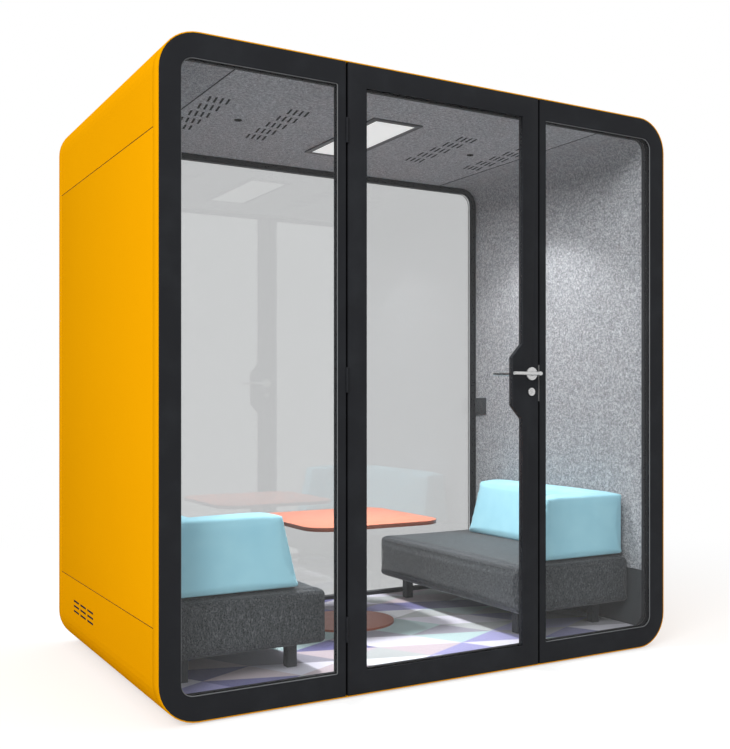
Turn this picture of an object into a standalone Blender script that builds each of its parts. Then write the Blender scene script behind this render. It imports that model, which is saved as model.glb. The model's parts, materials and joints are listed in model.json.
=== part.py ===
"""A glazed office booth for four: a yellow steel shell, a glazed front with a hinged door,
a glazed rear, an acoustic lining with vents and a light, and its built-in seats and table.

Metres, +Z up. The front faces -Y, and depths are measured back from the front plane.
The origin is on the floor, below the centre of the whole object's box."""

import math

import bmesh
import bpy
from mathutils import Matrix, Vector

# Shell
WIDTH = 2.250
DEPTH = 1.450
HEIGHT = 2.300
FOOT_HEIGHT = 0.006
CORNER_RADIUS = 0.140
SKIN = 0.004
HOOP_DEPTH = 0.050
PANEL_GAP = 0.003
LOWER_SEAM = 0.3245
UPPER_SEAM_DROP = 0.323
TOUCH = 0.0003
FRAME_CLEARANCE = 0.0006

# Glazed front
FRAME_SIDE = 0.078
FRAME_RAIL = 0.087
POST_FACE = 0.030
GLASS_CORNER = 0.045
LIP = 0.006
REBATE = 0.010
GLASS = 0.010
PORTAL_FRONT = 0.044
PORTAL_BACK = 0.060
PORTAL_SETBACK = 0.003
POST_LIP = 0.0085

# Door leaf
LEAF_WIDTH = 0.860
LEAF_THICKNESS = 0.040
LEAF_GAP = 0.010
LEAF_STILE = 0.076
DOOR_SEAL = 0.008
SEAL_CLEARANCE = 0.0004

# Hinges, whose knuckles stand in the gap between the post and the leaf
HINGE_END = 0.250
KNUCKLE_RADIUS = 0.0045
KNUCKLE_LENGTH = 0.030
KNUCKLE_GAP = 0.0004
HINGE_PIN_RADIUS = 0.0025
HINGE_PIN_CLEARANCE = 0.0003
HINGE_PLATE = 0.0025
HINGE_PLATE_DEPTH = 0.030
HINGE_AXIS_FORWARD = 0.002

# Lock and handle
LOCK_INSET = 0.035
LEVER_HEIGHT = 1.1835
KEY_DROP = 0.0728
LOCK_SWELL = 0.049
LOCK_SWELL_BELOW = 0.0589
LOCK_SWELL_ABOVE = 0.0692
LOCK_SWELL_SLOPE = 0.054
ROSE_RADIUS = 0.026
ROSE_THICKNESS = 0.008
NECK_RADIUS = 0.008
NECK_CLEARANCE = 0.0004
SPINDLE_RADIUS = 0.004
SPINDLE_LENGTH = 0.024
LEVER_REACH = 0.061
LEVER_BAR_RADIUS = 0.0065
LEVER_LENGTH = 0.132
KEY_ROSE_RADIUS = 0.016
KEY_ROSE_THICKNESS = 0.006
CYLINDER_RADIUS = 0.0085
KEYWAY_WIDTH = 0.0022
KEYWAY_HEIGHT = 0.009
TURN_LENGTH = 0.030
TURN_REACH = 0.016
LATCH_HEIGHT = 0.022
LATCH_THICKNESS = 0.014
LATCH_LENGTH = 0.0265
LATCH_THROW = 0.018
LATCH_TRAVEL = 0.017
BOLT_HEIGHT = 0.025
BOLT_THICKNESS = 0.012
BOLT_LENGTH = 0.024
BOLT_CLEARANCE = 0.0004
STRIKE_PLATE = 0.002
STRIKE_MARGIN = 0.025
STRIKE_DEPTH = 0.032
STRIKE_POCKET = 0.013
STRIKE_CLEARANCE = 0.0015

# Cabin
SIDE_WALL = 0.065
ROOF = 0.070
REAR_WALL = 0.080
FLOOR = 0.073
CARPET = 0.006
LINING = 0.012
COVE_RADIUS = 0.092
CEILING_EDGE = 0.237
LINING_GAP = 0.003
SKIRTING_TOP = 0.325
REAR_OPENING_SIDE = 0.097
REAR_OPENING_RAIL = 0.090
REAR_CORNER = 0.060
REAR_GLASS_AT = 0.012
REAR_STOP = 0.004
REAR_RECESS = 0.045
WRAP_BOTTOM = 0.150

# Ceiling vents, light and fans
VENT_ROWS = 5
VENT_COLUMNS = 4
VENT_LENGTH = 0.075
VENT_SLOT = 0.009
VENT_SLANT = 10
VENT_ROW_PITCH = 0.110
VENT_COLUMN_PITCH = 0.025
VENT_FORWARD = 0.009
VENT_EDGE = 0.083
VENT_GROUP_PITCH = 0.334
LIGHT_WIDTH = 0.234
LIGHT_LENGTH = 0.670
LIGHT_BORDER = 0.024
LIGHT_FLANGE = 0.007
LIGHT_BODY_INSET = 0.014
LIGHT_HEIGHT = 0.036
LIGHT_WALL = 0.002
LIGHT_SHELF = 0.004
DIFFUSER = 0.004
FAN_SIZE = 0.120
FAN_HEIGHT = 0.038
FAN_BORE_RADIUS = 0.056
FAN_HUB_RADIUS = 0.020
FAN_ARM = 0.006
FAN_ARM_HEIGHT = 0.005
FAN_POST_RADIUS = 0.004
FAN_POST_CLEARANCE = 0.0004
FAN_BLADES = 7
FAN_BLADE = 0.002
FAN_BLADE_HEIGHT = 0.024
FAN_BLADE_PITCH = math.radians(52)
FAN_TIP_CLEARANCE = 0.002
WRAP_CLEARANCE = 0.001

# Shell vents
SIDE_VENT_LENGTH = 0.095
SIDE_VENT_HEIGHT = 0.009
SIDE_VENT_LENGTH_PITCH = 0.117
SIDE_VENT_HEIGHT_PITCH = 0.021
SIDE_VENT_COUNT = 3
SIDE_VENT_FROM_REAR = 0.442
SIDE_VENT_CENTRE = 0.212
ROOF_VENT_LENGTH = 0.100
ROOF_VENT_WIDTH = 0.008
ROOF_VENT_PITCH = 0.020
ROOF_VENT_COUNT = 5

# Feet
FOOT_SIDE_INSET = 0.195
FOOT_INSET = 0.180
FOOT_RADIUS = 0.030
FOOT_STEM_RADIUS = 0.006
FOOT_STEM_LENGTH = 0.034
FOOT_HOLE_CLEARANCE = 0.0005

# Control plate on the right wall
PLATE_SIZE = 0.090
PLATE_THICKNESS = 0.012
PLATE_FROM_REAR = 0.055
PLATE_HEIGHT = 1.046
BUTTON_WIDTH = 0.032
BUTTON_HEIGHT = 0.066
BUTTON_THICKNESS = 0.006
BUTTON_PROUD = 0.0025
BUTTON_SPACING = 0.038
BUTTON_CLEARANCE = 0.0005
BUTTON_TRAVEL = 0.002

# Seats
SEAT_DEPTH = 0.617
SEAT_WALL_GAP = 0.003
SEAT_NEAR = 0.140
SEAT_REAR_GAP = 0.020
SEAT_BOTTOM = 0.178
SEAT_TOP = 0.390
SEAT_EDGE = 0.018
SEAT_CROWN = 0.010
SEAT_DRAW = 0.004
SEAT_FLAT = 0.3
LEG_SIZE = 0.040
LEG_INSET_FRONT = 0.095
LEG_INSET_BACK = 0.101
LEG_INSET_END = 0.135
LEG_RAIL = 0.003
BACK_HEIGHT = 0.280
BACK_NEAR_INSET = 0.020
BACK_FAR_INSET = 0.182
BACK_THICKNESS = 0.169
BACK_WALL_GAP = 0.022
BACK_LEAN = 0.051
BACK_TAPER = 0.038
ARM_INSET = 0.104
ARM_THICKNESS = 0.125
ARM_LEAN = 0.066
ARM_TAPER = 0.020
BACK_EDGE = 0.008
BACK_CROWN = 0.009

# Table
TABLE_TOP = 0.550
TABLE_THICKNESS = 0.018
TABLE_WIDTH = 0.640
TABLE_LENGTH = 0.670
TABLE_CORNER = 0.110
TABLE_FROM_REAR = 0.515
TABLE_BASE_RADIUS = 0.215
TABLE_BASE_THICKNESS = 0.010
TABLE_COLUMN_RADIUS = 0.032
TABLE_SPIDER_RADIUS = 0.120
TABLE_SPIDER_THICKNESS = 0.008

CUSHION_CUTS = 5
ARC_STEPS = 10
ROUND_SIDES = 32

# Places that follow from the driving dimensions
FRONT = -(DEPTH - LEVER_REACH) / 2
HALF_WIDTH = WIDTH / 2
HALF_LEAF = LEAF_WIDTH / 2
POST_EDGE = HALF_LEAF + LEAF_GAP
UPPER_SEAM = HEIGHT - UPPER_SEAM_DROP
GLASS_INNER = POST_EDGE + POST_FACE
FRAME_INSET = SKIN + FRAME_CLEARANCE
OPENING_HALF = HALF_WIDTH - FRAME_SIDE
OPENING_LOW = FOOT_HEIGHT + FRAME_RAIL
OPENING_HIGH = HEIGHT - FRAME_RAIL
HINGE_X = -HALF_LEAF - LEAF_GAP / 2
HINGE_HEIGHTS = (HINGE_END, HEIGHT / 2, HEIGHT - HINGE_END)
LOCK_X = HALF_LEAF - LOCK_INSET
KEY_HEIGHT = LEVER_HEIGHT - KEY_DROP
LOCK_SWELL_LOW = KEY_HEIGHT - LOCK_SWELL_BELOW
LOCK_SWELL_HIGH = LEVER_HEIGHT + LOCK_SWELL_ABOVE
LATCH_SIZE = (LATCH_THICKNESS, LATCH_HEIGHT)
BOLT_SIZE = (BOLT_THICKNESS, BOLT_HEIGHT)
LEAF_MIDDLE = LEAF_THICKNESS / 2
PORTAL_SIDE = OPENING_HALF + PORTAL_SETBACK
PORTAL_LOW = OPENING_LOW - PORTAL_SETBACK
PORTAL_HIGH = OPENING_HIGH + PORTAL_SETBACK
CABIN_HALF = HALF_WIDTH - SIDE_WALL
CEILING = HEIGHT - ROOF
CEILING_SEAM = CABIN_HALF - CEILING_EDGE
REAR_FACE = DEPTH - REAR_WALL
LINING_FRONT = PORTAL_BACK + TOUCH
LINING_REAR = REAR_FACE - TOUCH
LIGHT_MIDDLE = (PORTAL_BACK + REAR_FACE) / 2
VENT_MIDDLE = LIGHT_MIDDLE - VENT_FORWARD
VENT_OUTER = CEILING_SEAM - VENT_EDGE
VENT_INNER = VENT_OUTER - VENT_GROUP_PITCH
SIDE_VENT_MIDDLE = DEPTH - SIDE_VENT_FROM_REAR
FOOT_SIDE = HALF_WIDTH - FOOT_SIDE_INSET
PLATE_MIDDLE = REAR_FACE - PLATE_FROM_REAR
SEAT_WALL = CABIN_HALF - SEAT_WALL_GAP
SEAT_FRONT = SEAT_WALL - SEAT_DEPTH
SEAT_FAR = REAR_FACE - SEAT_REAR_GAP
BACK_WALL = CABIN_HALF - BACK_WALL_GAP
BACK_FRONT = BACK_WALL - BACK_THICKNESS
BACK_NEAR = SEAT_NEAR + BACK_NEAR_INSET
BACK_FAR = SEAT_FAR - BACK_FAR_INSET
BACK_TOP = SEAT_TOP + BACK_HEIGHT
ARM_FRONT = SEAT_FRONT + ARM_INSET
TABLE_MIDDLE = REAR_FACE - TABLE_FROM_REAR
FLOOR_TOP = FLOOR - CARPET - TOUCH

FINISHES = {
    "yellow_steel": ((0.85, 0.37, 0.005), 0.35, 0.0, 1.0),
    "black_frame": ((0.016, 0.019, 0.022), 0.45, 0.0, 1.0),
    "clear_glass": ((0.80, 0.84, 0.85), 0.03, 0.0, 0.25),
    "grey_felt": ((0.20, 0.21, 0.23), 0.95, 0.0, 1.0),
    "dark_laminate": ((0.035, 0.037, 0.040), 0.55, 0.0, 1.0),
    "carpet": ((0.42, 0.42, 0.48), 0.98, 0.0, 1.0),
    "board": ((0.36, 0.25, 0.15), 0.80, 0.0, 1.0),
    "mineral_wool": ((0.55, 0.50, 0.38), 1.00, 0.0, 1.0),
    "white_diffuser": ((0.90, 0.90, 0.88), 0.50, 0.0, 1.0),
    "satin_steel": ((0.62, 0.62, 0.62), 0.28, 1.0, 1.0),
    "black_rubber": ((0.012, 0.012, 0.012), 0.85, 0.0, 1.0),
    "grey_fabric": ((0.075, 0.078, 0.082), 0.95, 0.0, 1.0),
    "blue_fabric": ((0.26, 0.55, 0.63), 0.85, 0.0, 1.0),
    "orange_laminate": ((0.76, 0.26, 0.11), 0.30, 0.0, 1.0),
    "black_plastic": ((0.022, 0.022, 0.024), 0.50, 0.0, 1.0),
}


def clear_scene():
    for old in list(bpy.data.objects):
        bpy.data.objects.remove(old)


def collection(name):
    made = bpy.data.collections.new(name)
    bpy.context.scene.collection.children.link(made)
    return made


def make_finishes():
    made = {}
    for name, (colour, roughness, metallic, alpha) in FINISHES.items():
        material = bpy.data.materials.new(name)
        material.use_nodes = True
        shader = material.node_tree.nodes["Principled BSDF"]
        shader.inputs["Base Color"].default_value = (*colour, 1.0)
        shader.inputs["Roughness"].default_value = roughness
        shader.inputs["Metallic"].default_value = metallic
        shader.inputs["Alpha"].default_value = alpha
        made[name] = material
    return made


clear_scene()
BOOTH = collection("office_booth")
CUTTERS = collection("cutters")
MATERIALS = make_finishes()


def place(name, mesh, finish):
    """A visible piece, or with no finish a helper that only cuts or joins."""
    made = bpy.data.objects.new(name, mesh)
    if finish is None:
        made.hide_render = True
        made.display_type = "WIRE"
        CUTTERS.objects.link(made)
    else:
        made.data.materials.append(MATERIALS[finish])
        BOOTH.objects.link(made)
    return made


def mesh_from(build, name):
    shape = bmesh.new()
    build(shape)
    mesh = bpy.data.meshes.new(name)
    shape.to_mesh(mesh)
    shape.free()
    return mesh


def box(name, low, high, finish=None):
    size = [b - a for a, b in zip(low, high)]
    middle = [(a + b) / 2 for a, b in zip(low, high)]

    def build(shape):
        matrix = Matrix.Translation(middle) @ Matrix.Diagonal((*size, 1.0))
        bmesh.ops.create_cube(shape, size=1.0, matrix=matrix)

    return place(name, mesh_from(build, name), finish)


def cylinder(name, radius, start, end, axis, centre, finish=None, sides=ROUND_SIDES):
    """A round bar from start to end along the axis, through the centre given in the other two directions."""
    turn = {
        "X": Matrix.Rotation(math.pi / 2, 4, "Y"),
        "Y": Matrix.Rotation(-math.pi / 2, 4, "X"),
        "Z": Matrix.Identity(4),
    }[axis]
    middle = list(centre)
    middle.insert("XYZ".index(axis), (start + end) / 2)

    def build(shape):
        bmesh.ops.create_cone(
            shape,
            cap_ends=True,
            segments=sides,
            radius1=radius,
            radius2=radius,
            depth=end - start,
            matrix=Matrix.Translation(middle) @ turn,
        )

    made = place(name, mesh_from(build, name), finish)
    smooth(made)
    return made


def smooth(piece, angle=math.radians(30)):
    piece.data.shade_smooth()
    piece.data.set_sharp_from_angle(angle=angle)


def arc(centre_a, centre_b, radius, start, end, steps=ARC_STEPS):
    """Points of an arc, its angles in degrees from the first axis to the second."""
    angles = [start + (end - start) * i / steps for i in range(steps + 1)]
    return [
        (centre_a + radius * math.cos(math.radians(a)), centre_b + radius * math.sin(math.radians(a)))
        for a in angles
    ]


def rounded(low, high, radii, steps=ARC_STEPS):
    """A rectangle with a radius at each corner: low-low, high-low, high-high, low-high. 0 keeps it square."""
    corners = ((low[0], low[1], 180), (high[0], low[1], 270), (high[0], high[1], 0), (low[0], high[1], 90))
    points = []
    for (a, b, turn), radius in zip(corners, radii):
        if radius == 0:
            points.append((a, b))
            continue
        side_a = 1 if a == low[0] else -1
        side_b = 1 if b == low[1] else -1
        points += arc(a + side_a * radius, b + side_b * radius, radius, turn, turn + 90, steps)
    return points


def shell_loop(inset):
    """The booth's rounded outline seen from the front, moved in from the shell's outside."""
    return rounded(
        (-HALF_WIDTH + inset, FOOT_HEIGHT + inset),
        (HALF_WIDTH - inset, HEIGHT - inset),
        [CORNER_RADIUS - inset] * 4,
    )


def plate(name, loops, start, end, finish=None, plane="XZ"):
    """A flat outline, with any holes as further loops, thickened from start to end."""
    curve = bpy.data.curves.new(name, "CURVE")
    curve.dimensions = "2D"
    curve.fill_mode = "BOTH"
    curve.extrude = (end - start) / 2
    for loop in loops:
        spline = curve.splines.new("POLY")
        spline.points.add(len(loop) - 1)
        for point, (a, b) in zip(spline.points, loop):
            point.co = (a, b, 0, 1)
        spline.use_cyclic_u = True
    flat = bpy.data.objects.new(name + "_outline", curve)
    middle = (start + end) / 2
    if plane == "XZ":
        flat.matrix_world = Matrix.Translation((0, middle, 0)) @ Matrix.Rotation(math.pi / 2, 4, "X")
    else:
        flat.matrix_world = Matrix.Translation((0, 0, middle))
    CUTTERS.objects.link(flat)
    bpy.context.view_layer.update()
    graph = bpy.context.evaluated_depsgraph_get()
    mesh = bpy.data.meshes.new_from_object(flat.evaluated_get(graph))
    mesh.transform(flat.matrix_world)
    bpy.data.objects.remove(flat)
    shape = bmesh.new()
    shape.from_mesh(mesh)
    bmesh.ops.remove_doubles(shape, verts=shape.verts, dist=1e-6)
    bmesh.ops.recalc_face_normals(shape, faces=shape.faces)
    shape.to_mesh(mesh)
    shape.free()
    mesh.materials.clear()
    made = place(name, mesh, finish)
    smooth(made)
    return made


def turned(name, profile, centre, finish=None, sides=ROUND_SIDES):
    """A turned shape round a vertical axis. Its profile runs down the outer side, from axis to axis."""

    def build(shape):
        points = [shape.verts.new((radius, 0, height)) for radius, height in profile]
        for a, b in zip(points, points[1:]):
            shape.edges.new((a, b))

    made = place(name, mesh_from(build, name), finish)
    made.location = (centre[0], centre[1], 0)
    screw = made.modifiers.new("turn", "SCREW")
    screw.steps = sides
    screw.render_steps = sides
    screw.use_merge_vertices = True
    screw.merge_threshold = 1e-5
    return made


def combine(piece, other, operation):
    change = piece.modifiers.new(operation.lower(), "BOOLEAN")
    change.operation = operation
    change.object = other
    return piece


def cut(piece, *cutters):
    for other in cutters:
        combine(piece, other, "DIFFERENCE")
    return piece


def join(piece, *others):
    for other in others:
        combine(piece, other, "UNION")
    return piece


def ease(piece, width, segments=2):
    """Rounds the sharp edges."""
    bevel = piece.modifiers.new("edges", "BEVEL")
    bevel.width = width
    bevel.segments = segments
    bevel.limit_method = "ANGLE"
    bevel.angle_limit = math.radians(40)
    bevel.harden_normals = False
    return piece


def close_slim_joins(piece):
    """The posts meet their frames over fractions of a millimetre, which only this solver leaves closed."""
    for change in piece.modifiers:
        if change.type == "BOOLEAN":
            change.solver = "MANIFOLD"


def axis_empty(name, location, *pieces):
    """Puts the pieces under an empty that stands on their joint's axis."""
    empty = bpy.data.objects.new(name, None)
    empty.location = location
    BOOTH.objects.link(empty)
    bpy.context.view_layer.update()
    for piece in pieces:
        piece.parent = empty
        piece.matrix_parent_inverse = empty.matrix_world.inverted()
    return empty


def slot_rows(middle_a, middle_b, counts, pitches, sizes, slant=0):
    """Rectangular loops on a grid, each turned clockwise about its own middle by the slant in degrees."""
    loops = []
    cosine, sine = math.cos(math.radians(slant)), math.sin(math.radians(slant))
    for i in range(counts[0]):
        for j in range(counts[1]):
            a = middle_a + (i - (counts[0] - 1) / 2) * pitches[0]
            b = middle_b + (j - (counts[1] - 1) / 2) * pitches[1]
            corners = rounded((-sizes[0] / 2, -sizes[1] / 2), (sizes[0] / 2, sizes[1] / 2), [0] * 4)
            loops.append([(a + p * cosine + q * sine, b + q * cosine - p * sine) for p, q in corners])
    return loops


# Shell


def make_hoops():
    for name, start in (("front_hoop", FRONT), ("rear_hoop", FRONT + DEPTH - HOOP_DEPTH)):
        plate(name, [shell_loop(0), shell_loop(SKIN)], start, start + HOOP_DEPTH, "yellow_steel")


def bent_skin(name, seam, up):
    """The roof or the base: a sheet bent round two corners, its flat sides ending at a seam."""
    start = FRONT + HOOP_DEPTH + PANEL_GAP
    end = FRONT + DEPTH - HOOP_DEPTH - PANEL_GAP
    edge = seam + (PANEL_GAP / 2 if up else -PANEL_GAP / 2)
    straight_a = HALF_WIDTH - CORNER_RADIUS
    straight_b = HEIGHT - CORNER_RADIUS if up else FOOT_HEIGHT + CORNER_RADIUS
    outer = [(HALF_WIDTH, edge)]
    inner = [(HALF_WIDTH - SKIN, edge)]
    first, last = (0, 90) if up else (0, -90)
    outer += arc(straight_a, straight_b, CORNER_RADIUS, first, last)
    inner += arc(straight_a, straight_b, CORNER_RADIUS - SKIN, first, last)
    outer += [(-x, z) for x, z in reversed(outer)]
    inner += [(-x, z) for x, z in reversed(inner)]
    return plate(name, [outer + inner[::-1]], start, end, "yellow_steel")


def make_skins():
    base = bent_skin("base_shell", LOWER_SEAM, False)
    roof = bent_skin("roof_shell", UPPER_SEAM, True)
    start = FRONT + HOOP_DEPTH + PANEL_GAP
    end = FRONT + DEPTH - HOOP_DEPTH - PANEL_GAP
    low = LOWER_SEAM + PANEL_GAP / 2
    high = UPPER_SEAM - PANEL_GAP / 2
    box("left_side_panel", (-HALF_WIDTH, start, low), (-HALF_WIDTH + SKIN, end, high), "yellow_steel")
    box("right_side_panel", (HALF_WIDTH - SKIN, start, low), (HALF_WIDTH, end, high), "yellow_steel")
    cut_side_vents(base)
    cut_roof_vents(roof)
    for x, y in foot_places():
        cut(base, cylinder("foot_hole", FOOT_STEM_RADIUS + FOOT_HOLE_CLEARANCE, 0, FLOOR, "Z", (x, y)))


def cut_side_vents(base):
    """Slots low on the left side, where the booth takes its air in."""
    for i in range(SIDE_VENT_COUNT):
        for j in range(SIDE_VENT_COUNT):
            y = FRONT + SIDE_VENT_MIDDLE + (i - (SIDE_VENT_COUNT - 1) / 2) * SIDE_VENT_LENGTH_PITCH
            z = SIDE_VENT_CENTRE + (j - (SIDE_VENT_COUNT - 1) / 2) * SIDE_VENT_HEIGHT_PITCH
            low = (-HALF_WIDTH - SKIN, y - SIDE_VENT_LENGTH / 2, z - SIDE_VENT_HEIGHT / 2)
            high = (-HALF_WIDTH + 2 * SKIN, y + SIDE_VENT_LENGTH / 2, z + SIDE_VENT_HEIGHT / 2)
            cut(base, box("side_vent", low, high))


def cut_roof_vents(roof):
    """Slots over each fan, where the air leaves."""
    for side in (-1, 1):
        for i in range(ROOF_VENT_COUNT):
            x = side * VENT_INNER + (i - (ROOF_VENT_COUNT - 1) / 2) * ROOF_VENT_PITCH
            y = FRONT + VENT_MIDDLE
            low = (x - ROOF_VENT_WIDTH / 2, y - ROOF_VENT_LENGTH / 2, HEIGHT - 2 * SKIN)
            high = (x + ROOF_VENT_WIDTH / 2, y + ROOF_VENT_LENGTH / 2, HEIGHT + SKIN)
            cut(roof, box("roof_vent", low, high))


def foot_places():
    near = FRONT + FOOT_INSET
    far = FRONT + DEPTH - FOOT_INSET
    return [(-FOOT_SIDE, near), (FOOT_SIDE, near), (-FOOT_SIDE, far), (FOOT_SIDE, far)]


def make_feet():
    """Levelling feet: a flat pad under the shell and a stem that screws up into the floor."""
    pad = FOOT_HEIGHT - TOUCH
    top = FOOT_HEIGHT + FOOT_STEM_LENGTH
    stem = [(0, top), (FOOT_STEM_RADIUS, top), (FOOT_STEM_RADIUS, pad)]
    profile = stem + [(FOOT_RADIUS, pad), (FOOT_RADIUS, 0), (0, 0)]
    for number, centre in enumerate(foot_places(), 1):
        smooth(turned(f"levelling_foot_{number}", profile, centre, "satin_steel", 24))


def make_floor():
    """The floor core fills the shell's base, and follows its round corners facet for facet."""
    radius = CORNER_RADIUS - SKIN - TOUCH
    points = arc(HALF_WIDTH - CORNER_RADIUS, FOOT_HEIGHT + CORNER_RADIUS, radius, -90, 0)
    right = [point for point in points if point[1] < FLOOR_TOP]
    (below_x, below_z), (above_x, above_z) = right[-1], points[len(right)]
    part = (FLOOR_TOP - below_z) / (above_z - below_z)
    right.append((below_x + part * (above_x - below_x), FLOOR_TOP))
    left = [(-x, z) for x, z in reversed(right)]
    core = plate("floor_core", [right + left], FRONT + LINING_FRONT, FRONT + LINING_REAR, "board")
    for x, y in foot_places():
        hole = cylinder(
            "stem_hole",
            FOOT_STEM_RADIUS + FOOT_HOLE_CLEARANCE,
            0,
            FOOT_HEIGHT + FOOT_STEM_LENGTH + FOOT_HOLE_CLEARANCE,
            "Z",
            (x, y),
        )
        cut(core, hole)
    side = CABIN_HALF - TOUCH
    lowest = (-side, FRONT + LINING_FRONT, FLOOR_TOP + TOUCH)
    box("carpet", lowest, (side, FRONT + LINING_REAR, FLOOR), "carpet")


# Glazed front and rear


def glazing(frame, low, high, radii, start, end):
    """Cuts the rebate that takes a pane, from behind the lip to past the frame's back."""
    seat = rounded(
        (low[0] - REBATE, low[1] - REBATE),
        (high[0] + REBATE, high[1] + REBATE),
        [r + REBATE for r in radii],
    )
    cut(frame, plate(frame.name + "_rebate", [seat], start, end))


def pane(name, low, high, radii, start):
    edge = REBATE - TOUCH
    loop = rounded((low[0] - edge, low[1] - edge), (high[0] + edge, high[1] + edge), [r + edge for r in radii])
    return plate(name, [loop], start, start + GLASS, "clear_glass")


def side_loop(side):
    """The outline of one fixed side frame: two round outer corners and a straight inner edge."""
    radius = CORNER_RADIUS - FRAME_INSET
    low_z = FOOT_HEIGHT + FRAME_INSET
    high_z = HEIGHT - FRAME_INSET
    far = HALF_WIDTH - FRAME_INSET
    right = rounded((POST_EDGE, low_z), (far, high_z), [0, radius, radius, 0])
    return [(side * x, z) for x, z in right]


def make_fixed_front(side, word):
    """A fixed side light: the frame, the post behind it that the door shuts against, and the pane."""
    depth = PORTAL_FRONT - TOUCH
    low_x, high_x = sorted((side * GLASS_INNER, side * OPENING_HALF))
    low, high = (low_x, OPENING_LOW), (high_x, OPENING_HIGH)
    outer, inner = GLASS_CORNER, LIP
    radii = [inner, outer, outer, inner] if side > 0 else [outer, inner, inner, outer]
    opening = rounded(low, high, radii)
    frame = plate(f"{word}_front_frame", [side_loop(side), opening], FRONT, FRONT + depth, "black_frame")
    join(frame, post_shape(side, word))
    glazing(frame, low, high, radii, FRONT + LIP, FRONT + depth + LIP)
    pane(f"{word}_front_glass", low, high, radii, FRONT + LIP + TOUCH)
    return frame


def post_shape(side, word):
    """An L in plan: its foot stands behind the stile, and its toe behind the edge of the door."""
    toe = HALF_LEAF - POST_LIP
    heel = GLASS_INNER - REBATE - TOUCH
    neck = POST_EDGE + LIP / 2
    behind = FRONT + PORTAL_FRONT + TOUCH
    back = FRONT + PORTAL_BACK - LIP / 2
    inside = FRONT + LEAF_THICKNESS - LIP
    plan = [(neck, inside), (heel, inside), (heel, back), (toe, back), (toe, behind), (neck, behind)]
    low = PORTAL_LOW + TOUCH
    high = PORTAL_HIGH - TOUCH
    return plate(f"{word}_post", [[(side * x, y) for x, y in plan]], low, high, plane="XY")


def make_portal():
    """The ring that the glazed front is fixed to, and that the door's top and bottom shut against."""
    radii = [GLASS_CORNER + PORTAL_SETBACK] * 4
    opening = rounded((-PORTAL_SIDE, PORTAL_LOW), (PORTAL_SIDE, PORTAL_HIGH), radii)
    outside = shell_loop(SKIN + TOUCH)
    plate("front_portal", [outside, opening], FRONT + PORTAL_FRONT, FRONT + PORTAL_BACK, "black_frame")
    side = HALF_LEAF - TOUCH
    low = PORTAL_LOW - DOOR_SEAL - TOUCH
    high = PORTAL_HIGH + DOOR_SEAL + TOUCH
    outer = rounded((-side, low), (side, high), [0] * 4)
    inner = rounded(
        (-side + DOOR_SEAL, low + DOOR_SEAL),
        (side - DOOR_SEAL, high - DOOR_SEAL),
        [0] * 4,
    )
    start = FRONT + LEAF_THICKNESS + SEAL_CLEARANCE
    plate("door_seal", [outer, inner], start, FRONT + PORTAL_FRONT - TOUCH, "black_rubber")


def make_rear():
    """The rear frame, recessed behind its pane, which is bonded against the inner lip."""
    side = HALF_WIDTH - REAR_OPENING_SIDE
    low = (-side, FOOT_HEIGHT + REAR_OPENING_RAIL - LIP)
    high = (side, HEIGHT - REAR_OPENING_RAIL - LIP)
    radii = [REAR_CORNER] * 4
    start = FRONT + REAR_FACE
    end = FRONT + DEPTH - FRAME_CLEARANCE
    frame = plate(
        "rear_frame",
        [shell_loop(SKIN + TOUCH), rounded(low, high, radii)],
        start,
        end,
        "black_frame",
    )
    glazing(frame, low, high, radii, start + REAR_GLASS_AT, end + LIP)
    wide = rounded(
        (-side - REAR_RECESS, low[1] - REAR_RECESS),
        (side + REAR_RECESS, high[1] + REAR_RECESS),
        [r + REAR_RECESS for r in radii],
    )
    behind = start + REAR_GLASS_AT + GLASS + REAR_STOP
    cut(frame, plate("rear_recess", [wide], behind, end + LIP))
    pane("rear_glass", low, high, radii, start + REAR_GLASS_AT + TOUCH)


# Door


def leaf_opening():
    """The door's glass opening, stepped in round the lock."""
    side = HALF_LEAF - LEAF_STILE
    swell = side - LOCK_SWELL
    return [
        (-side, OPENING_LOW),
        (side, OPENING_LOW),
        (side, LOCK_SWELL_LOW - LOCK_SWELL_SLOPE),
        (swell, LOCK_SWELL_LOW),
        (swell, LOCK_SWELL_HIGH),
        (side, LOCK_SWELL_HIGH + LOCK_SWELL_SLOPE),
        (side, OPENING_HIGH),
        (-side, OPENING_HIGH),
    ]


def grown_opening(by):
    """The same opening, moved out by a distance on every side."""
    side = HALF_LEAF - LEAF_STILE + by
    swell = side - LOCK_SWELL
    turn = by * math.tan(math.atan2(LOCK_SWELL, LOCK_SWELL_SLOPE) / 2)
    return [
        (-side, OPENING_LOW - by),
        (side, OPENING_LOW - by),
        (side, LOCK_SWELL_LOW - LOCK_SWELL_SLOPE + turn),
        (swell, LOCK_SWELL_LOW + turn),
        (swell, LOCK_SWELL_HIGH - turn),
        (side, LOCK_SWELL_HIGH + LOCK_SWELL_SLOPE - turn),
        (side, OPENING_HIGH + by),
        (-side, OPENING_HIGH + by),
    ]


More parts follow.
